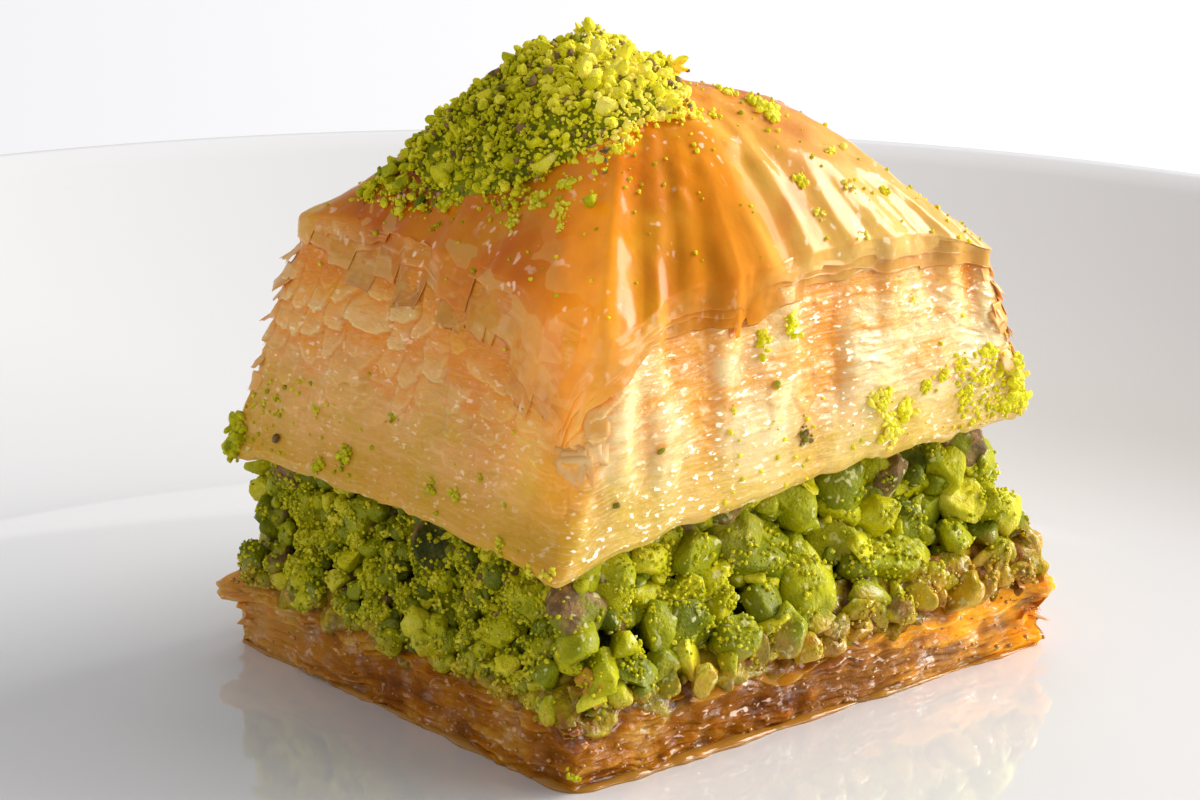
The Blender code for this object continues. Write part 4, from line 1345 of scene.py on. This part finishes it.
def tree_of(*pieces):
    """A search tree over finished meshes, for rays. Everything in it is in metres."""
    points, faces, start = [], [], 0
    for piece in pieces:
        mesh = piece.data
        flat = np.empty(len(mesh.vertices) * 3)
        mesh.vertices.foreach_get("co", flat)
        points += [tuple(p) for p in flat.reshape(-1, 3)]
        faces += [tuple(i + start for i in p.vertices) for p in mesh.polygons]
        start += len(mesh.vertices)
    return BVHTree.FromPolygons(points, faces)


def to_table(x, y, z):
    """A place about the sweet's middle, in mm, to a place over the table, in metres."""
    return Vector((x + SWEET_X, y + SWEET_Y, z + WELL_Z)) * MM


def from_table(place):
    return np.array(place) / MM - (SWEET_X, SWEET_Y, WELL_Z)


nut_tree = tree_of(chopped, nut_bits, standing, nut_core)
powder_random = np.random.default_rng(4)
powder_at, powder_size = [], []
CLUMPS_ALL_ROUND, CLUMPS_LEFT = 520, 180
for clump in range(CLUMPS_ALL_ROUND + CLUMPS_LEFT):
    turn = powder_random.uniform(0 if clump < CLUMPS_ALL_ROUND else 3, 4)
    z = powder_random.uniform(5.4, 18.0)
    lean = powder_random.uniform(-0.5, 0.5, 3)
    width = powder_random.uniform(0.2, 0.75)
    at, out_x, out_y = nut_wall(np.array([turn]), np.array([z]), -12)
    way = Vector((-out_x[0] + lean[0], -out_y[0] + lean[1], -0.25 + 0.3 * lean[2])).normalized()
    for _ in range(int(4 + width * 22)):
        start = at[0] + powder_random.normal(0, width, 3)
        hit, normal, _, _ = nut_tree.ray_cast(to_table(*start), way)
        if hit is not None:
            size = powder_random.uniform(0.07, 0.21)
            powder_at.append(from_table(hit + normal * size * 0.6 * MM * powder_random.uniform(0, 2)))
            powder_size.append(size)
powder_at, powder_size = np.array(powder_at), np.array(powder_size)
powder_points, _ = broken(powder_random, ball_20[0], powder_at, powder_size, 1, 0.5)
powder_tone = powder_random.uniform(0.5, 1.02, (len(powder_at), 1))
powder_values = {"tone": powder_tone, "cut": 1.0, "skin": 0.0}
powder = joined("nut_powder", [(powder_points, ball_20[1], powder_values)])
keep(powder, "chopped_pistachios", nuts_finish)

# %% [markdown]
# ## Ground pistachio on top
#
# The heap is a low mound, highest towards the back, which has a few peaks against the light. Crumbs
# of every size lie over it, and each is a rough broken bit, because a round one would look like a
# pea. They cling to each other, so many stand on the ones below.

# %% Heap
HEAP_X, HEAP_Y, HEAP_REACH_X, HEAP_REACH_Y = -6.6, 2.8, 10.2, 11.4
HEAP_EDGE, HEAP_DEPTH = 0.35, 2.7
# x, y, how high, how wide: the peaks along the heap's top
HEAP_PEAKS = (
    (-6.0, 5.0, 1.2, 2.0), (-2.2, 3.2, 2.1, 1.7), (0.4, 2.2, 1.5, 1.3), (1.9, -0.4, 1.3, 1.2),
    (4.2, -1.6, 0.8, 1.3), (-13.5, 6.5, 0.6, 1.5), (-10.0, 6.4, 0.7, 1.4),
)


def heap_depth(x, y):
    reach = np.hypot((x - HEAP_X) / HEAP_REACH_X, (y - HEAP_Y) / HEAP_REACH_Y)
    reach = reach * (1 + 0.3 * wander(x, y, 0, 3.6, 51))
    depth = HEAP_EDGE + np.clip(1 - reach, 0, 1) ** 0.7 * HEAP_DEPTH
    for at_x, at_y, high, wide in HEAP_PEAKS:
        depth = depth + high * np.exp(-((x - at_x) ** 2 + (y - at_y) ** 2) / wide**2)
    return np.where(reach < 1, depth, 0), reach


def heap_core_place(turn, run):
    share = np.where(run < 0.3, run / 0.3, (1 - run) / 0.7)
    angle = turn / 4 * math.tau
    x = HEAP_X + np.cos(angle) * HEAP_REACH_X * share * 0.93
    y = HEAP_Y + np.sin(angle) * HEAP_REACH_Y * share * 0.93
    depth, _ = heap_depth(x, y)
    base = crust_height(x, y) - 0.3
    over = base + 0.3 + 0.75 * depth + 0.35 * wander(x, y, 0, 0.9, 52)
    return x, y, np.where(run < 0.3, base, np.maximum(over, base)), {"tone": 0.35}


heap_core = rolled("heap_core", 120, 60, heap_core_place)
keep(heap_core, "ground_pistachios", dust_finish)

heap_random = np.random.default_rng(19)


def on_heap(count, sizes, bury):
    """Places for crumbs, evenly over the heap, part buried."""
    x = heap_random.uniform(HEAP_X - 11, HEAP_X + 11, count * 3)
    y = heap_random.uniform(HEAP_Y - 12, HEAP_Y + 12, count * 3)
    depth, reach = heap_depth(x, y)
    inside = np.flatnonzero(reach < 1.02)[:count]
    x, y, depth = x[inside], y[inside], depth[inside]
    size = heap_random.uniform(*sizes, len(x))
    z = crust_height(x, y) + depth + size * heap_random.uniform(-bury, 1.1, len(x))
    return np.stack([x, y, z], -1), size


big_at, big_size = on_heap(60, (0.42, 0.72), 0.6)
mid_at, mid_size = on_heap(880, (0.22, 0.42), 0.9)
fine_at, fine_size = on_heap(5900, (0.09, 0.21), 1.9)
heap_parts = []
for at, size, shape, cuts in (
    (big_at, big_size, ball_80, 3), (mid_at, mid_size, ball_80, 3), (fine_at, fine_size, ball_20, 1)
):
    points, marks = broken(heap_random, shape[0], at, size, cuts, 0.34, (1.25, 0.9, 0.85))
    # painted light: crumbs towards the window get a lighter tone
    painted_light_share = smooth_step(at[:, :1] + BACK_SHARE * at[:, 1:2], -14, 2)
    tone = 0.66 + 0.3 * painted_light_share + 0.34 * heap_random.uniform(size=(len(at), 1))
    skin = (heap_random.uniform(size=(len(at), 1)) < 0.1) * 1.0
    values = {"tone": tone * (1 - 0.6 * skin), "cut": 1 - skin, "skin": skin}
    heap_parts.append((points, shape[1], values))
heap_crumbs = joined("ground_nuts", heap_parts)
keep(heap_crumbs, "ground_pistachios", dust_finish)

# %% [markdown]
# ## Loose flakes
#
# Dry sheets break at their edges and leave small flakes, which stand out at the corners and curl.
# Each flake is a thin closed sheet, bent along its length, with its outer edge torn. Most of them
# are at the left and right corners, where the sheets spread apart.

# %% Flakes
FLAKE_LONG, FLAKE_WIDE, FLAKE_THIN = 7, 6, 0.05


def flake_faces():
    """The triangles of a thin closed sheet: its outside, its inside and its rim."""
    count = FLAKE_LONG * FLAKE_WIDE
    faces = []
    for i in range(FLAKE_LONG - 1):
        for j in range(FLAKE_WIDE - 1):
            a, b = i * FLAKE_WIDE + j, (i + 1) * FLAKE_WIDE + j
            faces += [(a, b, b + 1), (a, b + 1, a + 1)]
            faces += [(count + a, count + b + 1, count + b), (count + a, count + a + 1, count + b + 1)]
    last_long, last_wide = FLAKE_LONG - 1, FLAKE_WIDE - 1
    rim = [(i, 0) for i in range(FLAKE_LONG)] + [(last_long, j) for j in range(1, FLAKE_WIDE)]
    rim += [(i, last_wide) for i in range(last_long - 1, -1, -1)]
    rim += [(0, j) for j in range(last_wide - 1, 0, -1)]
    rim = [i * FLAKE_WIDE + j for i, j in rim]
    for a, b in zip(rim, rim[1:] + rim[:1]):
        faces += [(a, count + b, b), (a, count + a, count + b)]
    return np.array(faces)


def flakes(rng, places, ways, outs, long, wide, curl):
    """Many flakes: where each starts, which way it points and which way its outside faces."""
    down_flake, across_flake = np.linspace(0, 1, FLAKE_LONG), np.linspace(-0.5, 0.5, FLAKE_WIDE)
    u, v = (a.ravel() for a in np.meshgrid(down_flake, across_flake, indexing="ij"))
    across = np.cross(ways, outs)
    across /= np.linalg.norm(across, axis=1, keepdims=True)
    outs = np.cross(across, ways)
    seed = rng.uniform(0, 60, (len(places), 1))
    torn = 1 + 0.16 * wander(v * 3 + seed, seed, 0, 0.6, 81) * u
    along = u * long[:, None] * torn
    side = v * wide[:, None] * (1 + 0.16 * wander(u * 3 + seed, seed, 9, 1.0, 82)) * (1 - 0.12 * u)
    rise = curl[:, None] * long[:, None] * u**2 + 0.12 * wander(u * 2 + seed, v * 2, 5, 0.9, 83) * u
    rise = rise - 0.1 * (2 * v) ** 2 * wide[:, None] * rng.uniform(-0.3, 0.6, (len(places), 1))
    thin = FLAKE_THIN * (1 - 0.6 * u)
    level = along[..., None] * ways[:, None] + side[..., None] * across[:, None]
    sides = [level + (rise + up)[..., None] * outs[:, None] for up in (thin / 2, -thin / 2)]
    return np.concatenate(sides, 1) + places[:, None]


def unit(vectors):
    return vectors / np.linalg.norm(vectors, axis=1, keepdims=True)


flake_random = np.random.default_rng(33)


def side_flakes(turns, levels, stand, size, curl):
    """Flakes on the lid's cut sides. stand is how far they lean away from it."""
    x, y, z, _ = side_point(turns, levels, 0.0)
    _, _, out_x, out_y = lid_outline(turns, levels)
    outs = np.stack([out_x, out_y, 0 * out_x], -1)
    down = np.array([0, 0, -1.0]) + flake_random.normal(0, 0.12, (len(turns), 3))
    ways = unit(down + outs * stand[:, None])
    faces_out = unit(outs + np.array([0, 0, 0.6]) * stand[:, None])
    long = flake_random.uniform(*size, len(turns))
    wide = long * flake_random.uniform(0.7, 1.3, len(turns))
    places = np.stack([x, y, z], -1) + outs * 0.05 - ways * 0.3
    return flakes(flake_random, places, ways, faces_out, long, wide, curl)


LID_FLAKES = (  # how many, turns, levels, how far they stand out, length in mm, curl
    (30, (2.93, 3.03), (0.2, 1.0), (0.3, 1.2), (1.0, 2.2), 0.1),
    (26, (0.97, 1.05), (0.3, 1.0), (0.2, 0.9), (0.9, 2.0), -0.1),
    (9, (3.95, 4.03), (0.45, 0.75), (0.05, 0.3), (1.2, 2.4), 0.08),
    (24, (1.9, 2.1), (0.3, 0.98), (0.05, 0.5), (1.0, 2.2), 0.1),
)
flake_parts = []
for count, turn_range, level_range, stand, size, curl in LID_FLAKES:
    turns = flake_random.uniform(*turn_range, count) % 4
    levels = flake_random.uniform(*level_range, count)
    leans = flake_random.uniform(*stand, count)
    points = side_flakes(turns, levels, leans, size, flake_random.normal(curl, 0.05, count))
    scale = flake_random.uniform(0.2, 1.0, (count, 1))
    flake_parts.append((points, flake_faces(), {"scale": scale, "cut": 0.0}))
lid_flakes = joined("lid_flakes", flake_parts)


def flake_finish(name, dry, amber, shine):
    material, tree, shader = finish(
        name, Roughness=0.35, Coat_Weight=shine, Coat_Roughness=0.15, Specular_IOR_Level=0.2
    )
    share = spread(tree, grain(tree, 380, 3), 0.35, 0.65)
    plug(tree, shader.inputs["Base Color"], mixed(tree, share, dry, amber))
    plug(tree, shader.inputs["Normal"], bumped(tree, grain(tree, 1500, 2), 0.4, 0.0001))
    return material


dry_flakes = flake_finish("dry flakes", (0.95, 0.62, 0.26), (0.92, 0.42, 0.07), 0.3)
keep(lid_flakes, "top_pastry", dry_flakes)

# flakes at the slab's corners, amber and stiff with syrup
SLAB_FLAKES = ((3.0, 14, 0.7), (1.0, 18, 0.75), (0.0, 8, 0.3), (2.0, 14, 0.7))  # turn, how many, reach
slab_parts = []
for at_turn, count, reach in SLAB_FLAKES:
    turns = (at_turn + flake_random.uniform(-0.06, 0.06, count)) % 4
    levels = flake_random.uniform(0.2, 1.0, count)
    x, y, z, _ = slab_side(turns, levels)
    _, _, out_x, out_y = outline(turns, SLAB_LOW, SLAB_LOW, 0, 1.0)
    outs = np.stack([out_x, out_y, 0 * out_x], -1)
    ways = unit(outs * reach + flake_random.normal(0, 0.3, (count, 3)))
    long = flake_random.uniform(0.7, 2.2, count) * reach
    places = np.stack([x, y, z], -1) - ways * 0.5
    ups = unit(np.array([0, 0, 1.0]) + flake_random.normal(0, 0.3, (count, 3)))
    curl = flake_random.normal(0, 0.2, count)
    points = flakes(flake_random, places, ways, ups, long, long * 0.9, curl)
    fold = flake_random.uniform(-0.3, 0.5, (count, 1))
    slab_parts.append((points, flake_faces(), {"fold": fold, "cut": 0.0}))
slab_flakes = joined("slab_flakes", slab_parts)
syrup_flakes = flake_finish("syrup flakes", (0.90, 0.42, 0.04), (0.62, 0.20, 0.01), 0.8)
keep(slab_flakes, "bottom_pastry", syrup_flakes)

# %% [markdown]
# ## Stray crumbs
#
# Crumbs fell from the heap on to the crust and the sides. The larger ones are placed where the
# picture shows them: each is given as a place in the picture, 1200 by 800, and a ray from the camera
# finds the pastry behind it. Specks are strewn by chance, most of them near the heap and at the
# right corner, where they stuck to the syrup.

# %% Stray crumbs
FOCUS = LENS / SENSOR * PICTURE_WIDE
look_up = towards_eye.cross(to_right)


def picture_ray(column, row):
    """The way from the camera through a place in the picture."""
    right = (column - PICTURE_WIDE / 2) / FOCUS
    down = (row - PICTURE_HIGH / 2) / FOCUS
    return (-towards_eye + to_right * right - look_up * down).normalized()


# column, row, radius in mm, tone, skin, bits in the clump
STRAY = (
    (382, 140, 0.7, 0.8, 0, 4), (383, 176, 0.8, 0.5, 0, 3), (397, 187, 0.5, 0.5, 0, 3),
    (422, 203, 0.6, 0.15, 0, 1), (449, 203, 0.8, 0.7, 0, 5), (436, 227, 0.4, 0.6, 0, 2),
    (452, 176, 1.0, 0.8, 0, 1), (509, 172, 0.9, 0.6, 0, 6), (549, 168, 0.95, 1.15, 0, 1),
    (567, 183, 0.7, 0.9, 0, 5), (540, 199, 0.7, 0.9, 0, 5), (514, 222, 0.6, 1.0, 0, 4),
    (560, 212, 0.7, 1.0, 0, 4), (562, 228, 0.5, 0.95, 0, 2), (590, 202, 0.7, 0.7, 0, 1),
    (595, 174, 0.3, 1.0, 0, 1), (727, 92, 0.6, 0.9, 0, 4), (757, 103, 0.8, 0.9, 0, 5),
    (770, 115, 0.9, 0.9, 0, 6), (712, 115, 0.5, 0.9, 0, 3), (800, 182, 0.6, 0.95, 0, 4),
    (828, 150, 0.5, 1.1, 0, 3), (842, 148, 0.35, 1.0, 0, 1), (849, 188, 0.6, 1.2, 0, 2),
    (884, 192, 0.5, 0.95, 0, 3), (818, 214, 0.45, 1.0, 0, 2), (866, 236, 0.4, 1.2, 0, 2),
    (932, 250, 0.4, 1.1, 0, 3), (913, 300, 0.4, 1.0, 0, 2), (792, 325, 0.8, 0.8, 0, 4),
    (762, 342, 0.8, 0.85, 0, 5), (733, 410, 0.35, 0.9, 0, 2), (776, 386, 0.4, 0.7, 0.6, 1),
    (803, 437, 0.7, 0.3, 1, 3), (880, 400, 0.9, 1.0, 0, 6), (890, 430, 1.0, 1.02, 0, 7),
    (905, 412, 0.9, 1.0, 0, 6), (925, 386, 0.6, 0.9, 0, 4), (942, 375, 0.6, 0.9, 0, 4),
    (962, 365, 0.5, 0.9, 0, 3), (990, 352, 0.9, 0.9, 0, 6), (1008, 366, 1.0, 0.9, 0, 7),
    (1016, 382, 1.0, 1.0, 0, 7), (1018, 398, 0.9, 1.0, 0, 7), (1006, 404, 0.7, 1.0, 0, 5),
    (985, 378, 0.6, 0.9, 0, 4), (968, 392, 0.5, 0.95, 0, 4), (393, 420, 0.6, 0.6, 0, 2),
    (316, 410, 0.5, 0.9, 0, 3), (345, 455, 0.7, 0.8, 0, 4), (318, 466, 0.7, 0.8, 0, 4),
    (278, 438, 0.35, 0.2, 1, 1), (432, 488, 0.6, 0.7, 0, 4), (455, 497, 0.6, 0.85, 0, 3),
    (480, 478, 0.35, 0.8, 0, 2), (240, 436, 0.9, 0.8, 0, 6), (238, 425, 1.1, 0.75, 0, 7),
    (232, 448, 0.8, 0.8, 0, 6), (236, 440, 1.0, 0.7, 0, 7), (500, 545, 0.5, 0.95, 0, 4),
    (530, 570, 0.5, 0.98, 0, 4), (548, 574, 0.5, 1.0, 0, 3), (660, 450, 0.3, 0.3, 1, 1),
    (615, 505, 0.3, 0.3, 1, 1), (575, 775, 0.6, 0.8, 0, 3),
)
pastry_tree = tree_of(crust_top, lid_sheets, slab)
stray_random = np.random.default_rng(12)
stray_parts = []
for column, row, radius, tone, skin, bits in STRAY:
    hit, normal, _, _ = pastry_tree.ray_cast(CAMERA_PLACE, picture_ray(column, row))
    if hit is None:
        print("no pastry at", column, row)
        continue
    middle = from_table(hit)
    normal = np.array(normal)
    bits = 1 if bits == 1 else bits * 6
    around = stray_random.normal(0, radius * 0.5, (bits, 3)) * (bits > 1)
    sizes = radius * stray_random.uniform(0.1, 0.42, bits) if bits > 1 else np.array([radius])
    around = around - (around @ normal)[:, None] * normal * 0.8
    places = middle + around + normal * sizes[:, None] * 0.45
    shape = ball_80 if radius < 0.9 or bits > 1 else ball_320
    points, marks = broken(stray_random, shape[0], places, sizes, 3, 0.35, (1.2, 0.9, 0.85))
    tones = tone + 0.06 + stray_random.uniform(-0.15, 0.15, (bits, 1))
    stray_parts.append((points, shape[1], {"tone": tones, "cut": marks, "skin": float(skin)}))

# specks: a place on the sweet's outside, and a ray inwards
speck_at, speck_size = [], []
SPECK_SPREADS = (  # x, y, spread in mm, how many
    (-7, 2, 6.5, 420), (8, -6, 6, 60), (-12, -8, 5, 40), (16, -14, 4, 60), (0, 0, 16, 60),
)
for middle_x, middle_y, width, count in SPECK_SPREADS:
    for _ in range(count):
        x, y = stray_random.normal((middle_x, middle_y), width)
        hit, normal, _, _ = pastry_tree.ray_cast(to_table(x, y, 60), Vector((0, 0, -1)))
        if hit is not None and hit.z > 0.02:
            size = stray_random.uniform(0.06, 0.2)
            speck_at.append(from_table(hit + normal * size * 0.5 * MM))
            speck_size.append(size)
SIDE_SPECKS = (  # turns, levels, how many
    (0.3, 0.98, 0.02, 0.35, 60), (0.85, 1.03, 0.05, 0.42, 260), (3.0, 3.2, 0.02, 0.35, 50),
    (3.2, 3.95, 0.02, 0.3, 16),
)
for low_turn, high_turn, low_level, high_level, count in SIDE_SPECKS:
    turns, levels = stray_random.uniform((low_turn, low_level), (high_turn, high_level), (count, 2)).T
    x, y, z, _ = side_point(turns % 4, levels, 0.05)
    speck_at += list(np.stack([x, y, z], -1))
    speck_size += list(stray_random.uniform(0.06, 0.22, count))
speck_at, speck_size = np.array(speck_at), np.array(speck_size)
points, marks = broken(stray_random, ball_20[0], speck_at, speck_size, 1, 0.4)
tones = stray_random.uniform(0.6, 1.05, (len(speck_at), 1))
stray_parts.append((points, ball_20[1], {"tone": tones, "cut": 1.0, "skin": 0.0}))
stray = joined("stray_crumbs", stray_parts)
keep(stray, "top_pastry", dust_finish)

# %% [markdown]
# ## Syrup
#
# A bead of syrup runs along the foot of the slab, where it meets the plate. It is clear amber, and
# it is thickest at the front.

# %% Syrup


def syrup_place(turn, run):
    x, y, out_x, out_y = outline(turn, SLAB_LOW, SLAB_LOW, 0, 0.5)
    front = np.exp(-(np.minimum(turn, 4 - turn) / 0.55) ** 2)
    thick = 0.3 + 0.3 * front + 0.28 * wander(x, y, 0, 2.4, 91) + 0.12 * wander(x, y, 0, 0.9, 92)
    thick = np.clip(thick, 0.12, 1)
    angle = run * math.tau
    reach = thick * 1.15 * np.cos(angle) - 0.3
    height = np.maximum(thick * 0.75 * np.sin(angle), -0.2) + 0.02
    return x + out_x * reach, y + out_y * reach, np.maximum(height, 0.01), {"fold": 0.0}


syrup = rolled("syrup", 560, 14, syrup_place)
syrup_finish, _, _ = finish(
    "syrup", Base_Color=(0.85, 0.42, 0.05), Roughness=0.04, IOR=1.45, Transmission_Weight=0.6
)
keep(syrup, "bottom_pastry", syrup_finish)

# %% [markdown]
# ## Beads of syrup
#
# Wet pastry sparkles, because the syrup stands on it in tiny beads, and each bead mirrors the
# window. They sit on the sides of the slab.

# %% Beads
BEAD_SPREADS = (  # turns, levels, how many
    (0.0, 1.0, 0.05, 1.0, 120), (3.0, 4.0, 0.05, 0.9, 60), (1.0, 3.0, 0.05, 0.9, 120),
)
BEAD_SIZES = (0.04, 0.24)
bead_random = np.random.default_rng(51)
bead_parts = []
for low_turn, high_turn, low_level, high_level, count in BEAD_SPREADS:
    turns, levels = bead_random.uniform((low_turn, low_level), (high_turn, high_level), (count, 2)).T
    x, y, z, _ = slab_side(turns % 4, levels)
    sizes = bead_random.uniform(*BEAD_SIZES, count)
    points = ball_80[0] * (1, 1, 0.8) * sizes[:, None, None] + np.stack([x, y, z], -1)[:, None]
    bead_parts.append((points, ball_80[1], {"cut": 0.0}))
slab_beads = joined("slab_beads", bead_parts)
amber_beads, _, _ = finish(
    "amber beads", Base_Color=(0.50, 0.22, 0.03), Roughness=0.03, Coat_Weight=1.0, Coat_Roughness=0.02
)
keep(slab_beads, "bottom_pastry", amber_beads)

# %% [markdown]
# ## Floor
#
# The plate stands on a plain white table that runs out of the picture on every side.

# %% Floor
deselect()
bpy.ops.mesh.primitive_plane_add(size=8, location=(0, 0, 0))
floor = bpy.context.object
floor.name = "floor"
white_table, _, _ = finish("white table", Base_Color=(0.8, 0.8, 0.82), Roughness=0.7)
floor.data.materials.append(white_table)
floor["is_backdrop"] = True

# %% Size
low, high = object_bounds()
sizes = {"cad": [list(cad_low), list(cad_high)], "visual": [list(low), list(high)]}
print("size", [round((b - a) / MM, 1) for a, b in zip(low, high)], "mm")
